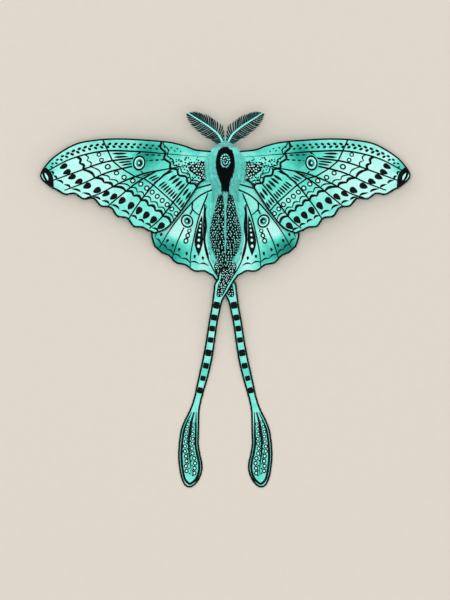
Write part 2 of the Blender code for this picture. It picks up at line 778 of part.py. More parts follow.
def make_antennae():
    for side in (RIGHT, LEFT):
        name = f"antenna_{SIDE_NAMES[side]}"
        path = [Vector((x * side, y, z)) for x, y, z in smooth(ANTENNA_PATH, COMB_PITCH)]
        shaft = tube(name, path, ANTENNA_RADII, 6, "feeler")
        rays = []
        first = round(COMB_START / COMB_PITCH)
        last = len(path) - 3
        for i in range(first, last + 1):
            along = (path[i + 1] - path[i]).normalized()
            share = (i - first) / (last - first)
            for edge, hand, step in (("inner", side, RAY_STEPS[0]), ("outer", -side, RAY_STEPS[1])):
                root = path[i].lerp(path[i + 1], step)
                normal = Vector((-along.y, along.x, 0)).normalized() * hand
                angle = blend(RAY_ANGLES, share)
                lean = along * math.cos(angle) + normal * math.sin(angle)
                length = RAY_LENGTHS[edge] * blend(RAY_SHARES, share)
                if lean.x * side < 0:
                    length = min(length, (abs(root.x) - RAY_FROM_MIDDLE) / -(lean.x * side))
                rays.append(ray(f"{name}_{edge}_{i}", root, lean, length))
        apply_boolean(shaft, "UNION", rays)
        apply_boolean(shaft, "DIFFERENCE", [head_core("head_clearance", GAP)])
        shade(shaft)


def ray(name, root, lean, length):
    """One tapered ray of the comb, which sags a little."""
    across = Vector((-lean.y, lean.x, 0)).normalized()
    rings = []
    for share, size in RAY_SHAPE:
        centre = root + lean * (length * share) - Vector((0, 0, RAY_SAG)) * share**2
        wide = across * (RAY_SIZE[0] * size / 2)
        up = Vector((0, 0, RAY_SIZE[1] * size / 2 + RAY_CROWN))
        rings.append([tuple(centre + offset) for offset in (wide, up, -wide, -up)])
    points, faces = loft(rings)
    return new_object(name, points, faces, "feeler")


def make_legs():
    for place, joints in LEGS.items():
        for side in (RIGHT, LEFT):
            path = smooth([(x * side, y, z) for x, y, z in joints], LEG_PITCH)
            leg = tube(f"leg_{place}_{SIDE_NAMES[side]}", path, LEG_RADII, 8, "leg")
            for vert in leg.data.vertices:
                vert.co.z = max(vert.co.z, 0.0)
            apply_boolean(leg, "DIFFERENCE", [body_clearance()])
            shade(leg)


def main():
    clear_scene()
    make_head()
    make_thorax()
    make_abdomen()
    make_wings()
    make_antennae()
    make_legs()


main()
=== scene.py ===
"""Looks of the moon moth: patterned wings, skin and coat, combed feelers, eyes and legs."""

import functools
import math

import bpy
import numpy as np
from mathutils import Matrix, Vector
from mathutils.geometry import delaunay_2d_cdt


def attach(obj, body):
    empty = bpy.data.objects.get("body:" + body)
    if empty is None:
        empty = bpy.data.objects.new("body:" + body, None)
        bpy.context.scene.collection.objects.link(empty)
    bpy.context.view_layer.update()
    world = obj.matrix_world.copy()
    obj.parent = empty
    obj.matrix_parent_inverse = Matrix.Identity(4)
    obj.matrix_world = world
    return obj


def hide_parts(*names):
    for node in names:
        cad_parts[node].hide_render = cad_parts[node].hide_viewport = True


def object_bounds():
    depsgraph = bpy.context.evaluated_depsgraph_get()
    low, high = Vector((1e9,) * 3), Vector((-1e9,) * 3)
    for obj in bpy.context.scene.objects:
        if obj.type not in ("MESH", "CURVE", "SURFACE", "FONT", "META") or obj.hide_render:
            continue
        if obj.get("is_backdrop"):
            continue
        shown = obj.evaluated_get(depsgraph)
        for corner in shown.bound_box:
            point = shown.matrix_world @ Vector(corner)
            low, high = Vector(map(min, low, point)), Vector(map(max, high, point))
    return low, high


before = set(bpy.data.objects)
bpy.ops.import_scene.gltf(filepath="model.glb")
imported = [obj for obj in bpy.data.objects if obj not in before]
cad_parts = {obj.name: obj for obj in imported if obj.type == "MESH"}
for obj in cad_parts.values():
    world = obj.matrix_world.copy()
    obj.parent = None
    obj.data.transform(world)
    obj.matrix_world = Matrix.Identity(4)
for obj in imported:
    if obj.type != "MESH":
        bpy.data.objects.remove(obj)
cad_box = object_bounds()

# Lengths are in millimetres up to the meshes, which are in metres. Wings are drawn for the moth's right side.
MM = 0.001
SIDES = {"right": 1, "left": -1}
SEED = 21
UP = (0, 0, 1.0)
CURVE_STEPS = 24

# The body: place along it, height of its axis, half width and half height with the coat.
BODY_PROFILE = [
    (52.2, 7.2, 0, 0), (52.05, 7.2, 1.1, 1.15), (51.65, 7.25, 1.8, 1.95), (51, 7.35, 2.25, 2.5),
    (50.1, 7.5, 2.6, 2.8), (49.8, 7.6, 3.4, 3.4), (49.35, 7.7, 4.3, 4), (48.6, 7.8, 5.1, 4.6),
    (47, 7.9, 5.6, 5), (44.5, 7.9, 5.75, 5.2), (41, 7.8, 5.5, 5), (37.8, 7.6, 4.9, 4.5),
    (35, 7.3, 4.2, 3.95), (32, 7, 4.1, 3.95), (28, 6.6, 4.5, 4.2), (24, 6.15, 5.2, 4.35),
    (20.8, 5.8, 5.35, 4.2), (17, 5.4, 4.7, 3.6), (13.8, 5.15, 3.4, 2.8), (11.8, 5, 2.2, 1.95),
    (10.5, 4.9, 1.2, 1.2), (10, 4.9, 0, 0),
]
COAT_DEPTHS = [
    (52.2, 0.45), (50.6, 0.45), (49.4, 0.95), (36.5, 0.95), (33.5, 0.75), (10, 0.75),
]
# Where the skin's rings start and end, the points that close it, and its unwrap along the body.
SKIN_ENDS = (52.1, 10.15)
SKIN_TIPS = (52.25, 10)
UNWRAP_START = 52.5
UNWRAP_LENGTH = 43
SKIN_RINGS = 190
SKIN_SIDES = 72
SEGMENT_PITCH = 2.9
SEGMENT_DEPTH = 0.16

# Dark marks on the back: place along the body and half width.
THORAX_MARK = [
    (49.5, 0), (49.35, 0.9), (48.9, 1.6), (48.1, 2.25), (46.9, 2.8), (45.4, 3.05), (43, 3.05),
    (40.8, 2.6), (39, 1.8), (37.4, 1.35), (35.2, 1.3),
]
ABDOMEN_MARK = [
    (35.2, 0.6), (34.2, 2.3), (31.5, 3), (28, 3.8), (24, 4.9), (19.5, 5.4), (15, 4.6),
    (10, 3),
]
# The pale line down the middle of the abdomen.
BACK_LINE = [(35.2, 1.3), (33, 0.8), (30, 0.42), (25, 0.3), (18, 0.24), (12, 0)]

EYE_RADIUS = 0.95
EYE_PLACE = (1.75, 51.2, 6.9)
PALP_PATH = [(0.6, 51.1, 5.9), (0.75, 51.8, 5.6), (0.8, 52.3, 5.6)]
PALP_RADII = (0.5, 0.42, 0.28)
PALP_STEP = 0.12

ANTENNA_PATH = [
    (0.85, 50.6, 8.6), (1, 51.2, 9.2), (1.5, 52.3, 9.6), (2.5, 53.8, 9.8), (4, 55.1, 10),
    (5.7, 56.4, 10.2), (7.4, 57.5, 10.4), (9.3, 58.7, 10.6), (11.2, 59.9, 10.8), (12.3, 60.7, 10.9),
]
ANTENNA_RADII = (0.36, 0.3, 0.26, 0.22, 0.16)
SHAFT_STEP = 0.14
RAY_PITCH = 0.68
RAY_START = 0.5
RAY_ANGLES = {"inner": (72, 58, 46, 38), "outer": (84, 76, 66, 46)}
RAY_LENGTHS = {"inner": 3.5, "outer": 3.7}
RAY_SHARES = {
    "inner": (0.55, 0.9, 1, 1, 0.87, 0.62, 0.2),
    "outer": (0.64, 0.94, 1, 1, 0.9, 0.66, 0.24),
}
RAY_RADII = (0.18, 0.23, 0.235, 0.235, 0.24, 0.25, 0.23, 0.04)
RAY_FLATNESS = 0.6
RAY_HOOK = 0.58
RAY_END_Y = 60.7
HAIRS_PER_MM = 50
HAIR_SPAN = (0.02, 0.87)
HAIR_REACH = (0.32, 0.4)
HAIR_HALF_WIDTH = 0.07
RAY_SAG = 0.5
RAY_FROM_MIDDLE = 0.3

# The wings' sheets, their raised veins, and the grids of their meshes and edges.
HALF_THICKNESS = 0.2
FLOOR_HALF_THICKNESS = 0.25
EDGE_TAPER = {"width": 1.3, "share": 0.4}
VEIN_RISE = 0.26
VEIN_SWELL = 0.14
VEIN_DIP = 0.3
SHARP_ANGLE = math.radians(50)
VEIN_HALF_WIDTH = 0.42
SWELL_WIDTH = 1.5
GRID = 0.62
# How far apart the rows of a staggered grid are, as a share of its pitch.
GRID_ROW = 0.87
EDGE_PITCH = 0.35
FRINGE_PITCH = 0.085

FOREWING_FRONT = [
    (2.6, 47.6), (5, 48.3), (7, 48.5), (9.9, 48.9), (13.1, 50.1), (18, 51.3), (26, 52.05),
    (34.5, 52.45), (42.2, 52.05), (48.8, 50.7), (55.3, 46.9), (58.8, 43.3), (60.2, 40.5), (59.3, 38.7),
]
FOREWING_OUTER = [
    (58.2, 37.8), (54.8, 35.4), (49.8, 34), (44, 32.6), (39, 30.2), (33.5, 26.7), (28.5, 23.7),
    (24.2, 22.1),
]
FOREWING_HIND = [
    (23.1, 21.5), (21.2, 22), (19.3, 22.9), (17.3, 24.6), (15.4, 27.1), (13.4, 29.8), (11.5, 32.7),
    (9.5, 35.7), (7.9, 38.1), (2.6, 42),
]
FOREWING_WAVES = {"count": 6, "height": 0.55, "start": 0.4}
FOREWING_VEINS = [
    [(4.4, 47.2), (12, 48.5), (22, 50.3), (33, 51), (44, 50.6)],
    [(4.4, 46.2), (14, 46.9), (22, 47.6), (30, 48.2), (40, 48.2), (50, 45.8), (58.6, 41.4)],
    [(27.5, 48), (29.2, 46), (29, 43.6), (26.5, 40.9)],
    [(29.2, 46), (39, 44.7), (49, 41.3), (57.4, 38.3)],
    [(29, 43.6), (38, 41.4), (46, 37.9), (52.2, 35.6)],
    [(4.4, 44.6), (12, 43.6), (20, 42.2), (26.5, 40.9), (34, 38), (40.5, 34.6), (45, 33.2)],
    [(22.5, 41.7), (29, 37.8), (34.5, 33.4), (38.6, 30)],
    [(17, 42.8), (23, 37.6), (28, 31.4), (31.4, 26.2)],
    [(4.4, 43.4), (10, 39.6), (16, 32.8), (21, 26.4), (24.6, 23.2)],
]
# Lines from the root to the outer margin that share the forewing out between them, front to back.
FOREWING_GUIDES = [
    [(2.6, 47.6), (7, 48.5), (13.1, 50.1), (26, 52.05), (42.2, 52.05), (52.5, 48.8), (58.8, 43.3),
     (60, 40.6)],
    [(2.6, 46), *FOREWING_VEINS[1][1:-1], (59.4, 40.2)],
    [(2.6, 45.6), (14, 46), (22, 46.2), (29.2, 45.8), *FOREWING_VEINS[3][1:-1], (57.6, 38)],
    [(2.6, 45.2), (12, 45), (20, 44.6), *FOREWING_VEINS[4][:-1], (52.6, 35.2)],
    [(2.6, 44.8), *FOREWING_VEINS[5][1:-1], (45.4, 32.9)],
    [(2.6, 44.6), (12, 43.3), (19, 41.9), (24, 40.4), *FOREWING_VEINS[6][1:-1], (39, 29.7)],
    [(2.6, 44.4), (10, 42.9), (16, 41.3), (20.5, 38.6), (24.5, 35.6), (28, 31.4), (31.8, 25.8)],
    [(2.6, 43.4), (6, 42.2), *FOREWING_VEINS[8][1:-1], (25.2, 22.5)],
    [(2.6, 42), (7.9, 38.1), (11.5, 32.7), (15.4, 27.1), (19.3, 22.9), (23.1, 21.5)],
]
FOREWING_EYE = {"place": (27.9, 44.4), "size": (1.75, 2.15), "tilt": 12}
ANTEMEDIAL_LINE = [
    (20.6, 51.3), (21, 49.4), (19.4, 47.7), (19.8, 45.8), (17.9, 44.4), (17.8, 42.8), (15.7, 42.2),
    (15, 40.4), (12.7, 39.9), (12.1, 38), (9.9, 37.6), (9.2, 36.4),
]
ANTEMEDIAL_SHIFT = (-1, 0.95)
VEIN_MARGIN = 0.4
# The dark patch at the forewing's root, with pale dots on it.
ROOT_PATCH = [
    (3, 45), (6.4, 44.9), (9.4, 44.3), (11.4, 43.2), (11.7, 41.9), (10.4, 41), (9.2, 40.3),
    (8.4, 39.3), (7.2, 38.9), (5.6, 39.8), (3, 41.6),
]

HINDWING_FRONT = [
    (2.6, 40), (6.5, 39.2), (11, 37.2), (17.5, 33.6), (21.8, 29.3), (23.8, 24.8), (24.1, 21),
    (23.5, 18.5),
]
HINDWING_OUTER = [
    (23, 17.2), (20.4, 15.2), (17, 12.9), (13, 10.8), (8.9, 9.2), (6.2, 8.7), (4.3, 7.9),
]
HINDWING_INNER = [
    (-2.3, 8.6), (-1.2, 10.6), (0.2, 13), (0.8, 18), (1.2, 25), (1.6, 32), (2.2, 37),
]
HINDWING_WAVES = {"count": 3.3, "height": 0.35, "start": 0.15}
HINDWING_VEINS = [
    [(4.2, 37.6), (10.5, 35.6), (16.5, 31.6), (20.6, 26.2), (22.8, 20.4)],
    [(4.2, 35.8), (8.5, 33.6), (12.6, 29.6), (17.5, 23.4), (21.4, 17)],
    [(10.6, 31.6), (10.6, 29.4), (8.4, 27.4)],
    [(10.6, 29.4), (13.2, 24), (15.8, 18.2), (17.2, 13.6)],
    [(5.6, 34.6), (8.4, 27.4), (10, 21), (11.2, 15), (11.4, 10.8)],
    [(6.6, 31), (7, 24), (6.4, 16), (3.6, 9.4), (0.2, 5.2), (-2, 1.2)],
]
HINDWING_GUIDES = [
    [(2.6, 40), (11, 37.2), (17.5, 33.6), (21.8, 29.3), (23.9, 24), (23.7, 18.5)],
    [(2.8, 37.9), *HINDWING_VEINS[0][1:-1], (23.3, 18)],
    [(3, 36.2), *HINDWING_VEINS[1][1:-1], (21.8, 16.4)],
    [(3.4, 35.6), (8, 32.6), (10.9, 28.6), *HINDWING_VEINS[3][1:-1], (17.4, 13)],
    [(3.8, 35.4), (6.4, 32.6), *HINDWING_VEINS[4][1:-1], (11.6, 10.4)],
    [(3.4, 34.6), (6.2, 31), (7, 24), (6.9, 18), (6, 13.5), (5, 9.4)],
    [(2.2, 34), (2.6, 28), (2.6, 22), (2.2, 16), (1, 11), (-0.4, 7.4)],
]
HINDWING_EYE = {"place": (12.4, 25.6), "size": (1.7, 1.95), "tilt": -28}

# The right wing's tail: place along it, its middle and its half width.
TAIL_STATIONS = [
    (7.2, 0.8, 3), (6.2, 0, 3.05), (5, -0.7, 2.95), (3, -1.35, 2.5), (0, -2.45, 1.78),
    (-1.8, -2.9, 1.6), (-7.3, -3.95, 1.52), (-13.8, -4.9, 1.54), (-19.6, -5.92, 1.64),
    (-25.5, -7.27, 1.6), (-31.1, -8.64, 1.4), (-33.7, -9.37, 1.46), (-36.2, -10.1, 1.75),
    (-39, -10.85, 2.4), (-41.9, -11.45, 2.95), (-44.1, -11.7, 3.15), (-47, -11.9, 3.3),
    (-50.4, -11.72, 3.65), (-52.7, -11.4, 3.87), (-55, -11.2, 3.8), (-57, -11.25, 3.4),
    (-58.7, -11.4, 2.75), (-60.2, -11.6, 1.8), (-61, -11.7, 0.7),
]
# Dark spots down the tail: place along it and size.
TAIL_SPOTS = [
    (-1.7, 1.15), (-5.7, 1), (-9.3, 0.95), (-13, 0.9), (-17.2, 1.1), (-21.4, 0.95), (-25.5, 0.85),
    (-29.4, 1),
]
PADDLE_TOP_Y = -35
PADDLE_INSET = 1.1

FOREWING_ROOT_Z = 9.2
FOREWING_DROOP = 0.085
FOREWING_CAMBER = 0.0012
HINDWING_ROOT_Z = 7.6
HINDWING_DROOP = 0.10
TAIL_START_Y = 8
CROSSING_LIFT = 0.8
CROSSING = (17, 10.5, 0, -9)

LEGS = {
    "front": [(2.4, 46.2, 4.8), (6.1, 46.9, 5.2), (8.4, 47.2, 0.9), (11.8, 47.8, 0.3)],
    "middle": [(2.6, 42.4, 4.6), (7.3, 42, 5.3), (10.2, 41.5, 0.9), (14.2, 40.8, 0.3)],
    "hind": [(2.4, 38.6, 4.8), (6.8, 35.6, 5.2), (8.9, 32.8, 0.9), (11.4, 29.6, 0.3)],
}
LEG_RADII = (0.6, 0.66, 0.42, 0.46, 0.3, 0.26, 0.24)
CLAW_RADII = (0.12, 0.02)

# Paints of the wings' faces.
GROUND, INK, PALE, TEAL = 0, 1, 2, 3
PAINTS = {"ink": INK, "pale": PALE, "teal": TEAL}

FLOOR_SIZE = 3
# The lamps: place, size and power.
LAMPS = {
    "top": ((0, 0, 1.7), 1.1, 14.5),
    "key": ((-0.55, 0.75, 1.1), 1.3, 3),
    "fill": ((0.8, -0.4, 1), 1.4, 1.2),
}
WORLD_LIGHT = 0.48
CAMERA_HEIGHT = 1.5
VIEW_HEIGHT = 0.1946
VIEW_CENTRE = (-0.0001, 0)
VIEW_LEVEL = 0.006
SENSOR = 36


def linear(red, green, blue):
    """A colour given in screen values, 0 to 255, as the linear one that shaders take."""
    parts = [c / 255 for c in (red, green, blue)]
    return tuple(c / 12.92 if c <= 0.04045 else ((c + 0.055) / 1.055) ** 2.4 for c in parts) + (1.0,)


COLOURS = {
    "floor": linear(219, 210, 199),
    "floor_shade": (0.5, 0.44, 0.38, 1.0),
    "pale": linear(184, 248, 238),
    "mint": linear(100, 224, 205),
    "fur": linear(116, 252, 238),
    "fur_pale": linear(170, 255, 248),
    "teal": linear(36, 166, 148),
    "deep": linear(16, 120, 108),
    "ink": linear(0, 2, 2),
    "ink_sheen": linear(6, 12, 13),
    "eye": linear(16, 15, 17),
    "leg": linear(52, 118, 110),
}


# Curves.


def catmull(points, steps=CURVE_STEPS):
    """Points of a smooth curve through the given ones, with the same number of steps between each two."""
    p = np.array(points, float)
    p = np.vstack([2 * p[0] - p[1], p, 2 * p[-1] - p[-2]])
    t = np.linspace(0, 1, steps, endpoint=False)[:, None, None]
    a, b, c, d = p[:-3], p[1:-2], p[2:-1], p[3:]
    made = 0.5 * (2 * b + (c - a) * t + (2 * a - 5 * b + 4 * c - d) * t**2 + (3 * b - a - 3 * c + d) * t**3)
    return np.vstack([made.transpose(1, 0, 2).reshape(-1, p.shape[1]), p[-2:-1]])


def read_at(wanted, places, points, **ends):
    """Each column of points with known places, read at the wanted places."""
    return np.array([np.interp(wanted, places, column, **ends) for column in points.T])


def length_of(path):
    return np.linalg.norm(np.diff(path, axis=0), axis=1).sum()


def resample(points, count):
    """As many points as asked, spaced evenly along a line."""
    lengths = np.concatenate([[0], np.cumsum(np.linalg.norm(np.diff(points, axis=0), axis=1))])
    return np.stack(read_at(np.linspace(0, lengths[-1], count), lengths, points), 1)


def smooth(points, spacing):
    """Points spaced about evenly along a smooth curve through the given ones."""
    fine = catmull(points)
    return resample(fine, max(2, round(length_of(fine) / spacing) + 1))


def on_side(points, side, spacing):
    """A smooth path through points given for the right side, on either side."""
    return smooth([(x * side, y, z) for x, y, z in points], spacing)


def both_sides(middle, half, ys):
    """The edges of a strip down its right side and up its left one."""
    return np.vstack([np.stack([middle + half, ys], 1), np.stack([middle - half, ys], 1)[::-1]])


def read_curve(rows, place):
    """A table's columns at a place, on a smooth curve through its rows. Their places fall."""
    rows = np.array(rows)
    fine = catmull(rows[:, 1:])
    places = np.interp(np.arange(len(fine)) / CURVE_STEPS, np.arange(len(rows)), rows[:, 0])
    return read_at(place, places[::-1], fine[::-1])


def read_rows(rows, place, **ends):
    """A table's columns at a place, straight from row to row. Their places fall."""
    rows = np.array(rows)[::-1]
    return read_at(place, rows[:, 0], rows[:, 1:], **ends)


def spread(values, share):
    """Values spaced evenly over shares from 0 to 1, read at a share."""
    return np.interp(share, np.linspace(0, 1, len(values)), values)


def spread_over(path, values):
    """Values spaced evenly along a path, read at each of its points."""
    return spread(values, np.linspace(0, 1, len(path)))


def ramp(value, start, end):
    """A soft rise from 0 to 1 between two values."""
    share = np.clip((np.asarray(value, float) - start) / (end - start), 0, 1)
    return share * share * (3 - 2 * share)


def unit(vectors):
    return vectors / np.maximum(np.linalg.norm(vectors, axis=-1, keepdims=True), 1e-12)


def tangents(path):
    return unit(np.gradient(path, axis=0))


def level_side(way):
    """The level direction square to a way."""
    return unit(np.cross(way, UP))


def normals(path):
    """Unit vectors to the left of a flat path."""
    along = tangents(path)
    return np.stack([-along[:, 1], along[:, 0]], 1)


# Materials.


class Look:
    """One material and short calls for the nodes of its tree."""

    def __init__(self, name, **values):
        self.material = bpy.data.materials.new(name)
        self.material.use_nodes = True
        self.tree = self.material.node_tree
        self.shader = self.tree.nodes["Principled BSDF"]
        for socket, value in values.items():
            self.shader.inputs[socket.replace("_", " ")].default_value = value

    def node(self, kind, inputs, **settings):
        """The first output of a new node, or the one named by settings."""
        output = settings.pop("output", 0)
        made = self.tree.nodes.new("ShaderNode" + kind)
        for name, value in settings.items():
            setattr(made, name, value)
        for key, value in inputs.items():
            if isinstance(value, bpy.types.NodeSocket):
                self.tree.links.new(value, made.inputs[key])
            else:
                made.inputs[key].default_value = value
        return made.outputs[output]

    def attribute(self, name):
        return self.node("Attribute", {}, attribute_name=name, output="Fac")

    def place(self, stretch=(1, 1, 1), turn=0.0):
        """The point's place in millimetres, stretched and turned about the vertical."""
        where = self.node("TexCoord", {}, output="Object")
        turned = self.node("Mapping", {"Vector": where, "Rotation": (0, 0, math.radians(turn))})
        return self.node("Mapping", {"Vector": turned, "Scale": tuple(s / MM for s in stretch)})

    def noise(self, vector, scale, detail=2.0, roughness=0.5, distortion=0.0):
        inputs = {"Vector": vector, "Scale": scale, "Detail": detail}
        inputs.update({"Roughness": roughness, "Distortion": distortion})
        return self.node("TexNoise", inputs, output="Fac")

    def cells(self, vector, scale, output="Distance"):
        return self.node("TexVoronoi", {"Vector": vector, "Scale": scale}, output=output)

    def add(self, a, b):
        return self.node("Math", {0: a, 1: b}, operation="ADD")

    def span(self, value, low, high, to_low=0.0, to_high=1.0):
        inputs = {"Value": value, "From Min": low, "From Max": high, "To Min": to_low, "To Max": to_high}
        return self.node("MapRange", inputs)

    def mix(self, share, a, b, blend="MIX"):
        """Two colours mixed by a share, each given by its name or as a socket."""
        a, b = (COLOURS[colour] if isinstance(colour, str) else colour for colour in (a, b))
        return self.node("Mix", {0: share, 6: a, 7: b}, data_type="RGBA", blend_type=blend, output=2)

    def shade(self, value, low, high, a, b):
        """A colour that goes from one to the other as a value goes from low to high."""
        return self.mix(self.span(value, low, high), a, b)

    def bump(self, height, distance, strength=1.0, **under):
        return self.node("Bump", {"Height": height, "Distance": distance * MM, "Strength": strength, **under})

    def set(self, socket, value):
        self.tree.links.new(value, self.shader.inputs[socket])

    def done(self, colour, normal):
        self.set("Base Color", colour)
        self.set("Normal", normal)
        return self.material


def wing_look():
    """Mint scales with paler and deeper clouds, and the inked marks."""
    look = Look("wing_scales", Specular_IOR_Level=0.1)
    where = look.place()
    wash = look.noise(where, 0.16, 5.0, 0.62, 0.6)
    fine = look.noise(where, 0.9, 4.0, 0.6)
    scales = look.cells(look.place((1.0, 0.55, 1.0), 18), 7.5, "Color")
    grain = look.node("SeparateColor", {0: scales})
    cloud = look.add(look.attribute("cloud"), look.span(wash, 0.3, 0.7, -0.2, 0.2))
    cloud = look.add(cloud, look.span(fine, 0.3, 0.7, -0.07, 0.07))
    colour = look.shade(cloud, -0.35, 0.12, "pale", "mint")
    colour = look.shade(cloud, 0.1, 0.72, colour, "teal")
    colour = look.shade(cloud, 0.72, 1.15, colour, "deep")
    for paint in ("pale", "teal"):
        colour = look.mix(look.attribute(paint), colour, paint)
    bright = look.span(grain, 0.0, 1.0, 0.89, 1.11)
    bright = look.node("CombineColor", {0: bright, 1: bright, 2: bright})
    colour = look.mix(1.0, colour, bright, "MULTIPLY")
    ink = look.shade(fine, 0.4, 0.75, "ink", "ink_sheen")
    colour = look.mix(look.attribute("ink"), colour, ink)
    look.set("Roughness", look.span(grain, 0.0, 1.0, 0.5, 0.72))
    rows = look.cells(look.place((1.0, 0.55, 1.0), 18), 7.5)
    soft = look.bump(fine, 0.12, 0.35)
    return look.done(colour, look.bump(rows, 0.04, 0.7, Normal=soft))


def coat_look():
    """Tufts of the coat: mint or dark, each its own tone, with painted shade of deeper teal at the root,
    where the tufts lie under each other.
    """
    look = Look("coat_tufts", Roughness=0.8, Specular_IOR_Level=0.1)
    tone = look.attribute("tone")
    along = look.attribute("along")
    light = look.shade(tone, 0.0, 0.4, "mint", "fur")
    light = look.shade(tone, 0.4, 1.0, light, "fur_pale")
    # Painted shade: the light colour turns to teal towards each tuft's root, where the tufts lie under each
    # other.
    light = look.mix(look.span(along, 0.0, 0.4, 0.2, 0.0), light, "teal")
    dark = look.shade(tone, 0.2, 1.0, "ink", "ink_sheen")
    colour = look.mix(look.attribute("ink"), light, dark)
    strands = look.noise(look.place((1.0, 0.25, 1.0)), 9.0, 2.0)
    colour = look.mix(look.span(strands, 0.3, 0.7, 0.0, 0.04), colour, "deep")
    return look.done(colour, look.bump(strands, 0.04, 0.4))


def skin_look():
    """The skin under the coat, in the coat's own colours."""
    look = Look("body_skin", Roughness=0.85, Specular_IOR_Level=0.1)
    down = look.noise(look.place((1.0, 0.3, 1.0)), 6.0, 4.0)
    light = look.shade(down, 0.3, 0.7, "mint", "fur")
    dark = look.shade(down, 0.4, 0.8, "ink", "ink_sheen")
    return look.done(look.mix(look.attribute("ink"), light, dark), look.bump(down, 0.1, 0.8))


def feeler_look():
    """Near-black combs on a mint shaft."""
    look = Look("feeler", Roughness=0.6, Specular_IOR_Level=0.15)
    rings = look.noise(look.place(), 3.0, 3.0)
    dark = look.shade(rings, 0.4, 0.8, "ink", "ink_sheen")
    light = look.shade(rings, 0.3, 0.7, "fur", "fur_pale")
    colour = look.mix(look.attribute("ink"), light, dark)
    return look.done(colour, look.bump(look.noise(look.place(), 12.0, 2.0), 0.03, 0.6))


def eye_look():
    """Dark and glossy, with a fine net of facets."""
    look = Look("eye", Roughness=0.16, Specular_IOR_Level=0.6, Coat_Weight=0.5, Coat_Roughness=0.08)
    facets = look.cells(look.place(), 11.0)
    mottle = look.noise(look.place(), 1.6, 2.0)
    return look.done(look.shade(mottle, 0.4, 0.7, "eye", "ink_sheen"), look.bump(facets, 0.02, 0.5))


def leg_look():
    """Dusky teal cuticle that darkens to the feet."""
    look = Look("leg", Roughness=0.6, Specular_IOR_Level=0.35)
    worn = look.noise(look.place(), 2.2, 3.0)
    colour = look.shade(worn, 0.3, 0.7, "leg", "teal")
    colour = look.mix(look.attribute("ink"), colour, "ink")
    return look.done(colour, look.bump(look.noise(look.place(), 9.0, 2.0), 0.04, 0.6))


def floor_look():
    """Plain pale matt ground."""
    look = Look("floor", Roughness=0.9, Specular_IOR_Level=0.15)
    mottle = look.noise(look.place(), 0.35, 4.0)
    colour = look.mix(look.span(mottle, 0.3, 0.7, 0.0, 0.05), "floor", "floor_shade")
    return look.done(colour, look.bump(look.noise(look.place(), 2.4, 2.0), 0.05, 0.25))


# Meshes.


def place_in_scene(name, data):
    obj = bpy.data.objects.new(name, data)
    bpy.context.scene.collection.objects.link(obj)
    return obj


def new_piece(name, points, faces, material, replaced=(), values=None, face_values=None, uv=None):
    """A piece from points in millimetres and rows of triangles or quads, riding on the body."""
    mesh = bpy.data.meshes.new(name)
    faces = [np.asarray(rows, np.int32) for rows in faces if len(rows)]
    corners = np.concatenate([rows.ravel() for rows in faces])
    totals = np.concatenate([np.full(len(rows), rows.shape[1], np.int32) for rows in faces])
    starts = np.concatenate([[0], np.cumsum(totals)[:-1]]).astype(np.int32)
    mesh.vertices.add(len(points))
    mesh.vertices.foreach_set("co", (np.asarray(points, float) * MM).astype(np.float32).ravel())
    mesh.loops.add(len(corners))
    mesh.loops.foreach_set("vertex_index", corners)
    mesh.polygons.add(len(totals))
    for key, numbers in (("loop_start", starts), ("loop_total", totals), ("use_smooth", totals > 0)):
        mesh.polygons.foreach_set(key, numbers)
    mesh.update(calc_edges=True)
    for domain, given in (("POINT", values), ("FACE", face_values)):
        for key, numbers in (given or {}).items():
            made = mesh.attributes.new(key, "FLOAT", domain)
            made.data.foreach_set("value", np.asarray(numbers, np.float32))
    if uv is not None:
        layer = mesh.uv_layers.new(name="OFBake")
        layer.data.foreach_set("uv", np.asarray(uv, np.float32)[corners].ravel())
    mesh.materials.append(material)
    obj = place_in_scene(name, mesh)
    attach(obj, "root")
    if replaced:
        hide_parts(*replaced)
    return obj


def ring_quads(rings, sides, row):
    """Quads between neighbouring rings of points, with so many points to a ring."""
    i, k = np.meshgrid(row * np.arange(rings - 1), np.arange(sides), indexing="ij")
    after = (k + 1) % row
    return np.stack([i + k, i + after, i + row + after, i + row + k], -1).reshape(-1, 4)


def tube_parts(path, radii, sides, flatten=1.0):
    """Points, quads and end triangles of a tapered tube, and each point's share of the way along it."""
    path = np.asarray(path, float)
    along = tangents(path)
    across = unit(np.cross(along, UP) + (1e-9, 0, 0))
    up = np.cross(across, along)
    turns = 2 * np.pi * np.arange(sides)[:, None] / sides
    ring = across[:, None] * np.cos(turns) + flatten * up[:, None] * np.sin(turns)
    rings = path[:, None] + np.asarray(radii, float)[:, None, None] * ring
    points = np.vstack([rings.reshape(-1, 3), path[:1], path[-1:]])
    count, k = len(path), np.arange(sides)
    after, last = (k + 1) % sides, (count - 1) * sides
    start = np.stack([after, k, 0 * k + last + sides], 1)
    end = np.stack([last + k, last + after, 0 * k + last + sides + 1], 1)
    share = np.append(np.repeat(np.linspace(0, 1, count), sides), (0, 1))
    return points, ring_quads(count, sides, sides), np.vstack([start, end]), share


class Bundle:
    """Many closed forms gathered into one mesh."""

    def __init__(self):
        self.points, self.quads, self.triangles, self.values, self.count = [], [], [], {}, 0

    def add(self, points, quads, triangles, **values):
        self.points.append(points)
        self.quads.append(np.asarray(quads, np.int64).reshape(-1, 4) + self.count)
        self.triangles.append(np.asarray(triangles, np.int64).reshape(-1, 3) + self.count)
        for key, value in values.items():
            self.values.setdefault(key, []).append(np.broadcast_to(value, (len(points),)).astype(float))
        self.count += len(points)

    def piece(self, name, material, replaced=(), uv=None):
        values = {key: np.concatenate(parts) for key, parts in self.values.items()}
        faces = [np.vstack(self.quads), np.vstack(self.triangles)]
        return new_piece(name, np.vstack(self.points), faces, material, replaced, values, uv=uv)


# The body.


def profile(y):
    """Axis height, half width and half height of the coated body at places along it."""
    return read_curve(BODY_PROFILE, y)


def coat_depth(y):
    return read_rows(COAT_DEPTHS, y)[0]


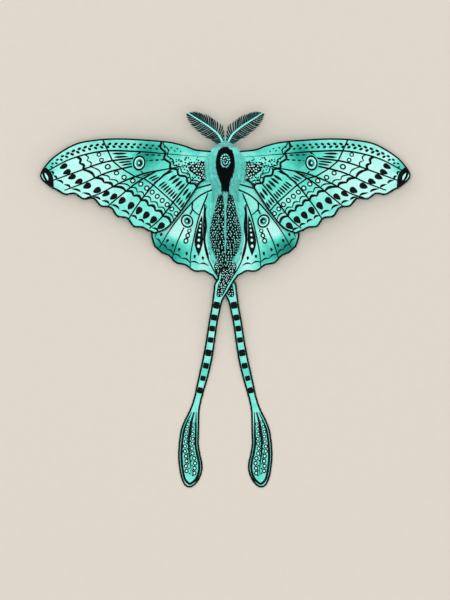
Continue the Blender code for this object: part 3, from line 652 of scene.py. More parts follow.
def body_points(y, angle, rise):
    """Points over the core of the body. The angle runs round from the moth's right, over its back."""
    z, wide, high = profile(y)
    grow = rise - coat_depth(y)
    wide, high = np.maximum(wide + grow, 0.12), np.maximum(high + grow, 0.12)
    return np.stack([wide * np.cos(angle), y + 0 * angle, z + high * np.sin(angle)], -1)


def body_normals(y, angle):
    _, wide, high = profile(y)
    return unit(np.stack([np.cos(angle) * high, 0 * angle, np.sin(angle) * wide], -1))


def half_width_share(points, rows):
    """One within the half width that the rows give over the back, nothing outside it."""
    half = read_rows(rows, points[..., 1], left=0, right=0)[0]
    high = points[..., 2] > profile(points[..., 1])[0]
    return ((np.abs(points[..., 0]) < half) & high).astype(float)


def unwrap_along(y):
    return (UNWRAP_START - y) / UNWRAP_LENGTH


def body_uv(y, angle):
    return np.stack([(angle / (2 * np.pi) + 0.25) % 1.0, unwrap_along(y)], -1)


def make_skin(material):
    """One closed skin over the body, with folds between the abdomen's segments, and the palps."""
    ys = np.linspace(*SKIN_ENDS, SKIN_RINGS)
    angles = np.linspace(-np.pi / 2, 1.5 * np.pi, SKIN_SIDES + 1)
    y, angle = np.meshgrid(ys, angles, indexing="ij")
    fold = 0.5 + 0.5 * np.cos(2 * np.pi * (34.0 - y) / SEGMENT_PITCH)
    rise = -SEGMENT_DEPTH * fold**4 * ramp(y, 35.5, 34.0) * ramp(y, 11.0, 13.0)
    tips = [(0, tip, float(profile(tip)[0])) for tip in SKIN_TIPS]
    points = np.vstack([body_points(y, angle, rise).reshape(-1, 3), tips])
    row, k = SKIN_SIDES + 1, np.arange(SKIN_SIDES)
    first, end = SKIN_RINGS * row, (SKIN_RINGS - 1) * row
    caps = [np.stack([k + 1, k, 0 * k + first], 1), np.stack([k + end, k + 1 + end, 0 * k + first + 1], 1)]
    mark = np.maximum(half_width_share(points, THORAX_MARK), 0.8 * half_width_share(points, ABDOMEN_MARK))
    bundle = Bundle()
    bundle.add(points, ring_quads(SKIN_RINGS, SKIN_SIDES, row), np.vstack(caps), ink=mark)
    uv = np.stack([(angle + np.pi / 2) / (2 * np.pi), unwrap_along(y)], -1)
    uvs = [uv.reshape(-1, 2), [(0.5, 0.0), (0.5, 0.99)]]
    for side in SIDES.values():
        path = on_side(PALP_PATH, side, PALP_STEP)
        tube, sides, ends, share = tube_parts(path, spread_over(path, PALP_RADII) - 0.1, 12)
        bundle.add(tube, sides, ends, ink=0.0)
        uvs.append(np.stack([0.25 + 0.02 * side + 0.01 * share, 0.001 + 0.008 * share], -1))
    return bundle.piece("body_skin", material, ("head", "thorax", "abdomen"), uv=np.vstack(uvs))


# How many tufts the small coats have.
FACE_TUFTS, PALP_TUFTS = 2600, 420
SHOULDER_TUFTS, EDGE_TUFTS = 2200, 1500
LEG_TUFTS = 520
TUFT_SINK = 0.12
TUFT_FLATNESS = 0.26
TUFT_PLACES = np.array([0.0, 0.34, 0.7, 1.0])
TUFT_WIDTHS = np.array([0.8, 1.0, 0.62])


def tuft_parts(centres, across, up, width, thick):
    """Points and faces of tapered tufts: three three-sided rings and a tip each."""
    n = len(centres)
    size = width[:, None] * TUFT_WIDTHS
    depth = thick[:, None] * TUFT_WIDTHS
    rings = []
    for x, z in ((-0.5, -0.3), (0.5, -0.3), (0.0, 0.7)):
        ring = centres[:, :3] + across[:, :3] * (size * x)[..., None]
        rings.append(ring + up[:, :3] * (depth * z)[..., None])
    points = np.concatenate([np.stack(rings, 2).reshape(n, 9, 3), centres[:, 3:]], 1)
    one = [(2, 1, 0)]
    for ring in (0, 3):
        for k in range(3):
            a, b = ring + k, ring + (k + 1) % 3
            one += [(a, b, b + 3), (a, b + 3, a + 3)]
    one += [(6 + k, 6 + (k + 1) % 3, 9) for k in range(3)]
    triangles = (np.array(one)[None] + 10 * np.arange(n)[:, None, None]).reshape(-1, 3)
    return points.reshape(-1, 3), triangles


TUFT_ALONG = np.repeat(TUFT_PLACES, (3, 3, 3, 1))
TUFT_PATCH = np.array(
    [(0, 0), (1, 0), (0.5, 0.2), (0, 0.35), (1, 0.35), (0.5, 0.5), (0, 0.7), (1, 0.7), (0.5, 0.8), (0.5, 1)]
)
PATCH_SIZE = 0.003


def add_coat(name, material, lines, width, ink, tone, uv, flatness=TUFT_FLATNESS):
    """One coat piece from its tufts: their middle lines, sides and tops, and their dark share and tone."""
    centres, across, up = lines
    points, triangles = tuft_parts(centres, across, up, width, width * flatness)
    values = {"ink": np.repeat(ink, 10), "tone": np.repeat(tone, 10)}
    values["along"] = np.tile(TUFT_ALONG, len(centres))
    patch = (uv[:, None] + TUFT_PATCH[None] * PATCH_SIZE).reshape(-1, 2)
    return new_piece(name, points, [triangles], material, (), values, uv=patch)


def body_tufts(y, angle, length, rise, drift, sink=1.0):
    """Middle lines of tufts that follow the body from skin to surface, and their sides and tops."""
    t = TUFT_PLACES[None]
    low = np.where(length > 0, 10.1, 9.0)[:, None]
    ys = np.clip(y[:, None] - length[:, None] * t, low, 52.6)
    turned = angle[:, None] + drift[:, None] * t
    height = coat_depth(y)[:, None] * rise[:, None] * (1 - sink * (1 - t) ** 1.7) - sink * TUFT_SINK * (1 - t)
    near = np.clip(ys, 11.0, 51.8)
    centres = body_points(near, turned, height)
    centres[..., 1] = ys
    up = body_normals(near, turned)
    return centres, unit(np.cross(up, (0, 1.0, 0))), up


# The body's coats: count, places along the body, lengths, width, and heights as shares of the coat's depth.
COAT_PLANS = {
    "thorax_coat_front": (11800, (43.6, 49.7), (2.3, 3.8), 0.2, (0.72, 1.04)),
    "thorax_coat_back": (11800, (35.6, 43.6), (2.5, 4.2), 0.2, (0.72, 1.04)),
    "abdomen_coat_front": (11000, (24.0, 35.8), (1.5, 2.8), 0.24, (0.7, 1.03)),
    "abdomen_coat_back": (11000, (10.8, 24.0), (1.4, 2.6), 0.24, (0.7, 1.03)),
    "collar_coat": (4200, (48.2, 49.8), (-1.6, -0.8), 0.15, (0.65, 1.04)),
    "head_coat": (4600, (50.0, 51.9), (-0.95, -0.5), 0.11, (0.6, 1.12)),
}
# Coat pieces that are paler than the rest.
COAT_TONES = {"collar_coat": 0.9, "head_coat": 0.9}
# Broad pale tufts that dot the dark of the abdomen: their spacing along and round it, length and width.
DOTS = {"rows": 0.8, "round": 0.92, "length": 0.56, "width": 0.47}
# Ovals of dots on the dark of the back: their middle, and each one's half width, half length and count.
BACK_OVALS = {"y": 45.0, "rings": ((1.45, 2.0, 16), (0.72, 1.1, 9), (0.0, 0.0, 1))}


def tones(chance, mean, n):
    """Each tuft's own tone about a mean, from 0 to 1."""
    return np.clip(chance.normal(mean, 0.2, n), 0, 1)


def make_body_coat(material):
    chance = np.random.default_rng(SEED)
    for name, (n, places, lengths, wide, heights) in COAT_PLANS.items():
        y = chance.uniform(*places, n)
        angle = chance.uniform(-np.pi / 2, 1.5 * np.pi, n)
        length, rise = chance.uniform(*lengths, n), chance.uniform(*heights, n)
        lines = body_tufts(y, angle, length, rise, chance.normal(0, 0.05, n))
        if lengths[0] < 0:
            keep = clear_of_face(lines[0])
            y, angle, lines = y[keep], angle[keep], [part[keep] for part in lines]
            n = len(y)
        speckle = chance.uniform(0, 1, n)
        on_back = half_width_share(lines[0][:, 2], THORAX_MARK)
        on_tail = dark_of_tail(lines[0]) * (speckle < 0.985)
        width = wide * chance.uniform(0.7, 1.3, n)
        tone = tones(chance, COAT_TONES.get(name, 0.55), n)
        add_coat(name, material, lines, width, np.maximum(on_back, on_tail), tone, body_uv(y, angle))
    make_dots(material, chance)
    make_face_coat(material)


def dark_of_tail(centres):
    """One where a tuft lies on the dark of the abdomen, nothing on the pale line down its middle."""
    return half_width_share(centres[:, 2], ABDOMEN_MARK) * (1 - half_width_share(centres[:, 3], BACK_LINE))


def make_dots(material, chance):
    """Broad pale tufts: dots all over the dark of the abdomen, and in ovals on the dark of the back."""
    places = []
    for row, y in enumerate(np.arange(34.4, 10.7, -DOTS["rows"])):
        _, wide, high = profile(y)
        count = max(3, round(np.pi * (wide + high) / DOTS["round"]))
        turns = (np.arange(count) + 0.5 * (row % 2)) / count
        places += [(y, 2 * np.pi * turn) for turn in turns]
    y, angle = np.array(places).T
    y = y + chance.uniform(-0.22, 0.22, len(y))
    angle = angle + chance.uniform(-0.05, 0.05, len(y))
    keep = dark_of_tail(body_tufts(y, angle, 0 * y + DOTS["length"], 0 * y, 0 * y)[0]) > 0
    x, row = [], []
    for wide, high, count in BACK_OVALS["rings"]:
        turns = 2 * np.pi * (np.arange(count) + 0.5) / count
        x.append(wide * np.cos(turns))
        row.append(BACK_OVALS["y"] + DOTS["length"] / 2 + high * np.sin(turns))
    x, row = np.concatenate(x), np.concatenate(row)
    y, angle = np.concatenate([y[keep], row]), np.concatenate([angle[keep], np.arccos(x / profile(row)[1])])
    n = len(y)
    grow = np.where(np.arange(n) < n - len(row), 1.0, 1.3)
    length = DOTS["length"] * chance.uniform(0.7, 1.2, n) * grow
    lines = body_tufts(y, angle, length, np.full(n, 1.12), chance.normal(0, 0.02, n), 0.3)
    width = DOTS["width"] * chance.uniform(0.75, 1.15, n) * grow
    tone = chance.uniform(0.85, 1.0, n)
    add_coat("body_dots", material, lines, width, 0 * width, tone, body_uv(y, angle))


def make_face_coat(material):
    """Short tufts that lie downwards over the front of the head, and along the palps."""
    chance = np.random.default_rng(SEED + 6)
    n, m = FACE_TUFTS, PALP_TUFTS
    turn = chance.uniform(0, 2 * np.pi, n)
    ys = np.linspace(52.2, 51.3, 40)
    y = np.interp(1.5 * np.sqrt(chance.uniform(0, 1, n)), profile(ys)[1] - coat_depth(ys), ys)
    roots = body_points(y, turn, 0 * y + 0.02)
    bulge = ((52.2 - y) / 0.9)[:, None]
    out = unit(np.stack([np.cos(turn), 0 * turn, np.sin(turn)], 1) * bulge + (0, 1.0, 0) * (1.1 - bulge))
    down = np.array([0, 0, -1.0]) + out * out[:, 2:]
    tips = roots + (0.7 * down + 0.4 * out) * chance.uniform(0.55, 0.85, n)[:, None]
    for side in SIDES.values():
        path = on_side(PALP_PATH, side, PALP_STEP)
        i = chance.integers(0, len(path) - 1, m)
        along = tangents(path)[i]
        around = unit(chance.normal(0, 1, (m, 3)))
        around = unit(around - along * (around * along).sum(1)[:, None])
        low = path[i] + around * (spread(PALP_RADII, i / (len(path) - 1)) - 0.14)[:, None]
        roots = np.vstack([roots, low])
        tips = np.vstack([tips, low + along * chance.uniform(0.3, 0.5, m)[:, None] + around * 0.12])
    total = n + 2 * m
    lines = hair_lines(roots, tips, np.full(total, 0.03))
    keep = clear_of_face(lines[0])
    lines = [part[keep] for part in lines]
    width = chance.uniform(0.08, 0.13, keep.sum())
    tone = tones(chance, 0.4, keep.sum())
    uv = np.stack([0.5 + 0.1 * roots[:, 0], 0.01 + 0.004 * (8 - roots[:, 2])], 1)[keep]
    add_coat("face_coat", material, lines, width, 0 * width, tone, uv)


def clear_of_face(centres):
    """Which tufts keep off the eyes and the feelers' bases."""
    keep = np.ones(len(centres), bool)
    for side in SIDES.values():
        eye = np.array([EYE_PLACE[0] * side, *EYE_PLACE[1:]])
        keep &= (np.linalg.norm(centres - eye, axis=-1) > EYE_RADIUS + 0.06).all(1)
        path = on_side(ANTENNA_PATH[:3], side, 0.2)
        gaps = np.linalg.norm(centres[:, :, None] - path[None, None], axis=-1)
        keep &= (gaps.min(2) > 0.4).all(1)
    return keep


def hair_lines(roots, tips, lift):
    """Middle lines of tufts from root to tip with a lift between, and their sides and tops."""
    t = TUFT_PLACES[None, :, None]
    centres = roots[:, None] + (tips - roots)[:, None] * t
    centres[..., 2] += lift[:, None] * 4 * TUFT_PLACES * (1 - TUFT_PLACES)
    way = unit(tips - roots)[:, None]
    across = np.broadcast_to(level_side(way), centres.shape)
    return centres, across, np.broadcast_to(np.cross(across[:, :1], way), centres.shape)


def make_shoulder_hair(material):
    """Tufts from the thorax's sides over the wings' roots, and along the hindwings' inner edges."""
    for name, side in SIDES.items():
        chance = np.random.default_rng(SEED + 3)
        n, m = SHOULDER_TUFTS, EDGE_TUFTS
        y = chance.uniform(39.5, 47.6, n)
        angle = chance.uniform(math.radians(12), math.radians(40), n)
        roots = body_points(y, angle, coat_depth(y) * chance.uniform(0.3, 0.8, n))
        reach = chance.uniform(0.7, 1.9, n) * (1 - 0.4 * ramp(angle, 0.3, 0.7))
        reach = reach * (0.4 + 0.6 * ramp(y, 48.4, 44.5))
        tips = roots + np.stack([reach, -reach * chance.uniform(0.5, 1.3, n), 0 * reach], 1)
        near = forewing_height(tips[:, 0], tips[:, 1]) + chance.uniform(0.3, 0.5, n)
        tips[:, 2] = np.maximum(near, roots[:, 2] - reach * chance.uniform(0.4, 0.7, n))
        x, back = chance.uniform(3.9, 5.9, m), chance.uniform(14.0, 36.0, m)
        x = x - 0.3 * np.clip(20.0 - back, 0, 7)
        height = hindwing_height(side)
        low = np.stack([x, back, height(x, back) + 0.12], 1)
        end = np.stack([x + chance.normal(0.05, 0.12, m), back - chance.uniform(1.5, 3.0, m)], 1)
        high = np.column_stack([end, height(*end.T) + chance.uniform(0.25, 0.4, m)])
        roots, tips = np.vstack([roots, low]), np.vstack([tips, high])
        roots[:, 0] *= side
        tips[:, 0] *= side
        tone = tones(chance, 0.45, n + m)
        uv = np.stack([0.5 + 0.08 * side + 0.05 * chance.uniform(0, 1, n + m), unwrap_along(roots[:, 1])], 1)
        lines = hair_lines(roots, tips, chance.uniform(0.05, 0.2, n + m))
        width = chance.uniform(0.13, 0.22, n + m)
        add_coat(f"shoulder_coat_{name}", material, lines, width, 0 * width, tone, uv)


# Wings.


def forewing_height(x, y):
    return FOREWING_ROOT_Z - FOREWING_DROOP * (x - 5.0) - FOREWING_CAMBER * (52.0 - y) ** 2


def hindwing_height(side):
    """The height of a hindwing's middle surface. The right wing passes over the left one where they cross."""

    def height(x, y):
        floor = FLOOR_HALF_THICKNESS
        level = HINDWING_ROOT_Z - HINDWING_DROOP * (np.hypot(x, 4.0) - 6.4)
        level = level - HINDWING_DROOP * (38.0 - np.maximum(y, TAIL_START_Y))
        share = np.clip((y - PADDLE_TOP_Y) / (TAIL_START_Y - PADDLE_TOP_Y), 0, 1)
        level = floor + (level - floor) * np.where(y < TAIL_START_Y, 2.1 * share**2 - 1.1 * share**3, 1.0)
        start, full, hold, end = CROSSING
        lift = np.where(y > full, ramp(y, start, full), ramp(y, end, hold))
        return level + side * CROSSING_LIFT * lift

    return height


def wavy(points, waves):
    """A smooth curve with even waves across it."""
    curve = smooth(points, EDGE_PITCH)
    share = np.linspace(0, 1, len(curve))
    wave = waves["height"] * np.cos(2 * np.pi * (waves["count"] * share + waves["start"]))
    return curve - normals(curve) * (wave * np.minimum(1, np.minimum(4 * share, 8 * (1 - share))))[:, None]


def tail_at(y):
    """The tail's middle and half width at places along it."""
    return read_curve(TAIL_STATIONS, y)


def forewing_outline():
    front, hind = smooth(FOREWING_FRONT, EDGE_PITCH), smooth(FOREWING_HIND, EDGE_PITCH)
    return np.vstack([front, wavy(FOREWING_OUTER, FOREWING_WAVES), hind])


def hindwing_outline():
    ys = np.concatenate([np.arange(TAIL_STATIONS[0][0] - 0.4, -60.0, -0.4), [-60.2, -60.5, -60.75, -61.0]])
    front, inner = smooth(HINDWING_FRONT, EDGE_PITCH), smooth(HINDWING_INNER, EDGE_PITCH)
    return np.vstack([front, wavy(HINDWING_OUTER, HINDWING_WAVES), both_sides(*tail_at(ys), ys), inner])


def inside(points, outline):
    """Which points lie inside an outline."""
    x, y = points[:, 0], points[:, 1]
    found = np.zeros(len(points), bool)
    x1, y1 = outline[:, 0], outline[:, 1]
    x2, y2 = np.roll(x1, -1), np.roll(y1, -1)
    for k in range(len(outline)):
        if y1[k] != y2[k]:
            cross = (y1[k] > y) != (y2[k] > y)
            found ^= cross & (x < (x2[k] - x1[k]) * (y - y1[k]) / (y2[k] - y1[k]) + x1[k])
    return found


def inset(outline, width):
    """An outline moved inwards. Its points run clockwise."""
    closed = np.vstack([outline[-1:], outline, outline[:1]])
    return outline - normals(closed)[1:-1] * width


class Net:
    """Lines that fan out over a wing, between which its marks are placed."""

    def __init__(self, guides):
        self.lines = [resample(catmull(guide), 201) for guide in guides]

    def at(self, u, s):
        """The point at a place among the lines and a share of their length."""
        j = int(np.clip(np.floor(u), 0, len(self.lines) - 2))
        low, high = (read_at(s * 200, np.arange(201), line) for line in self.lines[j : j + 2])
        return low + (high - low) * (u - j)

    def along(self, u, s):
        return unit(self.at(u, min(1, s + 0.01)) - self.at(u, max(0, s - 0.01)))

    def path(self, u, s):
        """Points over shares of the lines, at a place among them that may vary."""
        us = np.broadcast_to(u, np.shape(s))
        return np.array([self.at(a, b) for a, b in zip(us, s)])


def stripe(path, halves):
    """A strip along a path, its half widths spread evenly and smoothly along it."""
    path = np.asarray(path, float)
    fine = catmull(np.array(halves, float)[:, None], 8)[:, 0]
    half = np.maximum(spread_over(path, fine), 0.03)[:, None]
    side = normals(path) * half
    return np.vstack([path + side, (path - side)[::-1]])


def gap(net, a, b, share):
    """How wide the wing is between two places, measured across its lines."""
    step, way = net.at(a, share) - net.at(b - 1e-6, share), net.along((a + b) / 2, share)
    return abs(float(step[0] * way[1] - step[1] * way[0]))


def parted(net, share, span, pitch):
    """Places that part each space between neighbouring lines of a net evenly, at a share of their length."""
    places = []
    for low in range(*span):
        count = max(1, round(gap(net, low, low + 1, share) / pitch))
        places += [low + k / count for k in range(count)]
    return np.array(places + [span[1]], float)


def arches(net, share, places, reach, halves, part=1.0):
    """Strokes across the wing that arch towards its root, each over a part of its space."""
    made = []
    for a, b in zip(places, places[1:]):
        way = np.linspace(-1, 1, 13)
        base = net.path((a + b) / 2 + (b - a) / 2 * part * way, np.full(13, share))
        lift = reach * np.cos(way * np.pi / 2)
        made.append(stroke(base - net.along((a + b) / 2, share) * lift[:, None], halves))
    return made


def rooms(net, share, places):
    """The middle of each space between places, the way along the wing there, and the space's width."""
    for a, b in zip(places, places[1:]):
        yield net.at((a + b) / 2, share), net.along((a + b) / 2, share), gap(net, a, b, share)


# Rings: how flat the dark oval is and how many points it has, and the same of the pale one with its length.
RING_SHAPES = {
    "row": (0.9, 22, 0.5, 0.44, 16),
    "chain": (0.85, 20, 0.48, 0.4, 14),
    "paddle": (0.9, 20, 0.48, 0.4, 14),
}


def ring(kind, place, size, way):
    """A dark oval with a pale middle."""
    flat, count, long, wide, pale_count = RING_SHAPES[kind]
    dark = spot(place, size, size * flat, way, count)
    return [dark, (PALE, oval(place, size * long, size * wide, way, pale_count))]


def rings(net, share, places, size):
    """Dark rings with pale middles between the places."""
    made = []
    for where, way, width in rooms(net, share, places):
        made += ring("row", where, min(size, 0.43 * width), way)
    return made


def spots(net, share, places, along, across):
    """Dark drops between the places, no wider than their room."""
    found = rooms(net, share, places)
    return [spot(where, along, min(across, 0.38 * width), way, 22, 0.35) for where, way, width in found]


def stroke(path, halves, paint=INK):
    """A painted strip along a path."""
    return paint, stripe(path, halves)


def spot(*shape):
    """A dark oval."""
    return INK, oval(*shape)


def oval(place, along, across, direction=(1.0, 0.0), count=18, taper=0.0):
    """An oval, narrower at its far end by the taper."""
    turns = 2 * np.pi * np.arange(count) / count
    d = unit(np.asarray(direction, float))
    n = np.array([-d[1], d[0]])
    wide = across * (1 - taper * np.cos(turns))
    return np.asarray(place) + np.outer(along * np.cos(turns), d) + np.outer(wide * np.sin(turns), n)


# An eyespot's nested ovals: each its share of the size, its shift along the tilt, and its paint.
EYESPOT_OVALS = [
    (1.34, 0, GROUND),
    (1.18, 0, INK),
    (0.87, 0, PALE),
    (0.67, -0.1, TEAL),
    (0.47, -0.22, INK),
    (0.18, 0.1, PALE),
]


def eyespot(eye):
    turn = math.radians(eye["tilt"])
    direction = np.array([math.cos(turn), math.sin(turn)])
    made = []
    for share, shift, paint in EYESPOT_OVALS:
        place = np.array(eye["place"]) + direction * shift
        made.append((paint, oval(place, *(np.array(eye["size"]) * share), direction, 36)))
    return made


def dots(chance, box, pitch, sizes, share, paint=INK):
    """Small dots strewn where the share, a function of the place, is high."""
    made = []
    (x0, y0), (x1, y1) = box
    for row, y in enumerate(np.arange(y0, y1, pitch * GRID_ROW)):
        for x in np.arange(x0 + pitch / 2 * (row % 2), x1, pitch):
            place = np.array([x, y]) + chance.uniform(-0.3, 0.3, 2) * pitch
            if chance.uniform() < share(place):
                size = chance.uniform(*sizes)
                flat, way = chance.uniform(0.8, 1.0), chance.normal(0, 1, 2)
                made.append((paint, oval(place, size, size * flat, way, 10)))
    return made


# The dark patch at the forewing's tip, and the pale streak in it.
TIP_PATCH = [(58.9, 42.6), (57.6, 40.2), (56.6, 38.0), (55.9, 36.6)]
TIP_STREAK = [(58.6, 41.2), (57.9, 39.9), (57.6, 38.9)]


def forewing_marks(outline):
    """The forewing's shapes of paint, in the order in which they lie over each other."""
    net = Net(FOREWING_GUIDES)
    chance = np.random.default_rng(SEED + 1)
    marks = [(GROUND, inset(outline, 0.54))]
    for vein in FOREWING_VEINS[1:]:
        halves = (0.05, 0.1, 0.22, 0.29, 0.28, 0.25, 0.2) if vein[0][0] < 5 else (0.31, 0.27, 0.2)
        marks.append(stroke(smooth(vein, 0.6), halves))
    rim = parted(net, 0.87, (1, 8), 2.75)
    marks += arches(net, 0.95, rim, 0.6, (0.06, 0.3, 0.38, 0.3, 0.06), 0.86)
    marks += spots(net, 0.872, rim, 1.4, 0.98)
    bend = parted(net, 0.74, (1, 8), 2.75)
    marks += arches(net, 0.785, bend, 0.95, (0.28, 0.4, 0.5, 0.4, 0.28))
    marks += arches(net, 0.74, bend, 0.95, (0.14, 0.2, 0.26, 0.2, 0.14))
    marks += rings(net, 0.662, parted(net, 0.66, (1, 8), 2.4), 1.05)
    marks.append(stroke(net.path(np.linspace(0.0, 8.0, 60), np.full(60, 0.605)), (0.25, 0.25)))
    marks += comb_band(net, (0.505, 0.588), (1, 8), 0.95, (0.04, 0.28, 0.36, 0.34, 0.06))
    line = smooth(ANTEMEDIAL_LINE, 0.4)
    marks += [stroke(line, (0.38, 0.38)), stroke(line + ANTEMEDIAL_SHIFT, (0.2, 0.2))]
    for k, s in enumerate(np.arange(0.2, 0.94, 0.0165)):
        size, hand = float(spread((0.3, 0.5, 0.62, 0.62, 0.66, 0.4), (s - 0.2) / 0.74)), (-1) ** k
        marks.append(spot(net.at(0.56 + 0.11 * hand, s), 1.05 * size, 0.68 * size, (1, 0.5 * hand), 12))
    for u in (1.5, 2.5):
        for s in np.arange(0.33, 0.45, 0.034):
            marks.append(spot(net.at(u, s), 0.7, 0.27, net.along(u, s), 10, 0.4))
    marks += comb_band(net, (0.38, 0.485), (4, 8), 1.5, (0.04, 0.36, 0.5, 0.34, 0.04))
    marks.append(stroke(smooth(TIP_PATCH, 0.3), (0.9, 1.5, 1.2, 0.3)))
    marks.append(stroke(smooth(TIP_STREAK, 0.3), (0.1, 0.36, 0.1), PALE))
    marks += dots(chance, ((8, 38), (30, 50)), 0.95, (0.2, 0.36), root_dots_share)
    patch = smooth(ROOT_PATCH + ROOT_PATCH[:1], 0.4)[:-1]
    marks.append((INK, patch))
    patch_share = functools.partial(root_patch_share, patch)
    marks += dots(chance, ((3, 38), (12, 46)), 0.86, (0.2, 0.27), patch_share, PALE)
    return marks + eyespot(FOREWING_EYE)


def root_dots_share(place):
    """How thick the dots lie over the forewing's root."""
    return 0.95 * float(ramp(place[1] - 26.6 - place[0], 0, 1) * ramp(47.2 - place[1], 0, 2.5))


def root_patch_share(patch, place):
    """How thick the pale dots lie on the dark patch, a little way in from its edge."""
    return 0.97 * float(inside(place[None], inset(patch, 0.3))[0])


def comb_band(net, reach, span, pitch, halves):
    """Short streaks side by side along the wing's lines, clear of its veins and no wider than their room."""
    made = []
    for low in range(*span):
        width = gap(net, low, low + 1, sum(reach) / 2)
        free = max(0.1, 1 - 2 * VEIN_MARGIN / width)
        count = max(1, round(free * width / pitch))
        for k in range(count):
            middle = low + 0.5 + free * ((k + 0.5) / count - 0.5)
            path = net.path(middle, np.linspace(*reach, 13))
            shares = np.linspace(*reach, len(halves))
            room = np.array([gap(net, low, low + 1, s) for s in shares]) * free / count
            if room.min() > 0.36 and np.linalg.norm(path[7] - FOREWING_EYE["place"]) > 3.3:
                made.append(stroke(path, np.minimum(halves, 0.33 * room)))
    return made


# Chains of rings on the hindwing, which end at one share of its lines: their line, start and sizes.
CHAINS = ((3.5, 0.53, (0.75, 1.05)), (4.5, 0.42, (0.6, 1.2)), (5.45, 0.33, (0.5, 1.0)))
CHAIN_END = 0.75


def hindwing_marks(outline):
    """The hindwing's shapes of paint, with those of its tail."""
    net = Net(HINDWING_GUIDES)
    chance = np.random.default_rng(SEED + 2)
    marks = [(GROUND, inset(outline, 0.58))]
    marks += [stroke(smooth(vein, 0.6), (0.27, 0.23, 0.16)) for vein in HINDWING_VEINS]
    rim = parted(net, 0.9, (1, 5), 2.3)
    marks += arches(net, 0.935, rim, 0.6, (0.08, 0.21, 0.28, 0.21, 0.08))
    marks += spots(net, 0.85, rim, 0.62, 0.4)
    marks.append(stroke(net.path(4.5, np.linspace(0.33, 0.83, 40)), (0.05, 0.6, 0.9, 1.25, 1.4, 0.9, 0.05)))
    for u, start, sizes in CHAINS:
        place = start
        while place < CHAIN_END:
            size = float(np.interp(place, (start, CHAIN_END), sizes))
            made = ring("chain", net.at(u, place), size, net.along(u, place))
            marks += made if size > 0.5 else made[:1]
            place += size * 0.074
    for u, half in ((5.1, 0.38), (5.88, 0.48)):
        s = np.linspace(0.16, 0.88, 50)
        marks.append(stroke(net.path(u + 0.05 * np.sin(s * 18), s), (0.08, half, half, 0.08)))
    marks += tail_spots() + paddle_marks()
    ys = np.concatenate([np.linspace(14.0, 2.0, 26), np.linspace(1.9, 0.95, 8)])
    marks.append((INK, both_sides(*stipple_at(ys), ys)))
    marks += dots(chance, ((-5, 1.5), (7, 14)), 0.72, (0.15, 0.2), stipple_share, PALE)
    return marks + eyespot(HINDWING_EYE)


# Dark ground with pale dots, from the abdomen's tip over the tail's root: place, middle and half width.
STIPPLE = [
    (14.0, 1.4, 1.4), (11.0, 1.4, 2.3), (9.0, 0.9, 2.3), (7.2, 0.5, 1.95), (5.0, -0.65, 1.7),
    (3.0, -1.35, 1.4), (1.9, -1.75, 1.15), (1.35, -1.9, 0.95), (1.05, -1.98, 0.6), (0.95, -2.0, 0.2),
]


def stipple_at(y):
    return read_rows(STIPPLE, y)


def stipple_share(place):
    """How thick the pale dots lie."""
    middle, half = stipple_at(place[1])
    return 0.97 * float(abs(place[0] - middle) < half - 0.2)


def tail_spots():
    """Blunt dark spots down the tail."""
    turns = 2 * np.pi * np.arange(20) / 20
    box = np.stack([np.cos(turns), np.sin(turns)], 1)
    box = np.sign(box) * np.abs(box) ** 0.32
    made = []
    for y, size in TAIL_SPOTS:
        x, wide = (float(v) for v in tail_at(y))
        way = unit(np.array([tail_at(y - 1.0)[0] - tail_at(y + 1.0)[0], -2.0]))
        across = np.array([-way[1], way[0]]) * min(size, wide - 0.62)
        made.append((INK, np.array([x, y]) + np.outer(box[:, 0] * size, way) + np.outer(box[:, 1], across)))
    return made


def paddle_marks():
    """A dark inner line round the tail's end, a midrib, and rings and dots that grow towards the tip."""
    turn = np.linspace(0, np.pi / 2, 24)
    ys = np.concatenate([np.linspace(-36.5, -57.9, 50), -58.0 - 1.85 * np.sin(turn)])
    middle, half = tail_at(ys)
    inner = (half - PADDLE_INSET) * np.concatenate([np.ones(50), np.cos(turn)])
    edge = resample(both_sides(middle, inner, ys), 150)
    marks = [stroke(edge, (0.12, 0.34, 0.4, 0.4, 0.4, 0.4, 0.4, 0.34, 0.12))]
    marks.append(stroke(np.stack([middle[:48], ys[:48]], 1), (0.24, 0.44, 0.36, 0.24, 0.08)))
    for k, y in enumerate(np.arange(-40.0, -57.0, -1.6)):
        x, wide = (float(v) for v in tail_at(y))
        size = 0.44 + 0.36 * float(ramp(wide, 2.2, 3.8))
        for hand in (1, -1):
            reach, level = hand * (wide - PADDLE_INSET) * 0.5, y - 0.35 * hand
            out = 1.12 if (k + hand) % 4 < 2 else 0.9
            marks += ring("paddle", (x + reach * out, level), size, (0, 1))
            marks.append(spot((x + reach * 0.42, level - 0.8), 0.29, 0.27, (0, 1), 12))
    return marks


def line_distance(points, lines):
    """Each point's distance to the nearest of some lines."""
    best = np.full(len(points), 1e9)
    for line in lines:
        for a, b in zip(line[:-1], line[1:]):
            step = b - a
            t = np.clip(((points - a) @ step) / (step @ step), 0, 1)
            best = np.minimum(best, np.linalg.norm(points - a - t[:, None] * step, axis=1))
    return best


def cloud_value(x, y, spots):
    """How deep the wing's wash of colour is: soft spots of a place, a size and a depth."""
    total = np.zeros(len(x))
    for (px, py), (sx, sy), depth in spots:
        total += depth * np.exp(-(((x - px) / sx) ** 2) - ((y - py) / sy) ** 2)
    return total


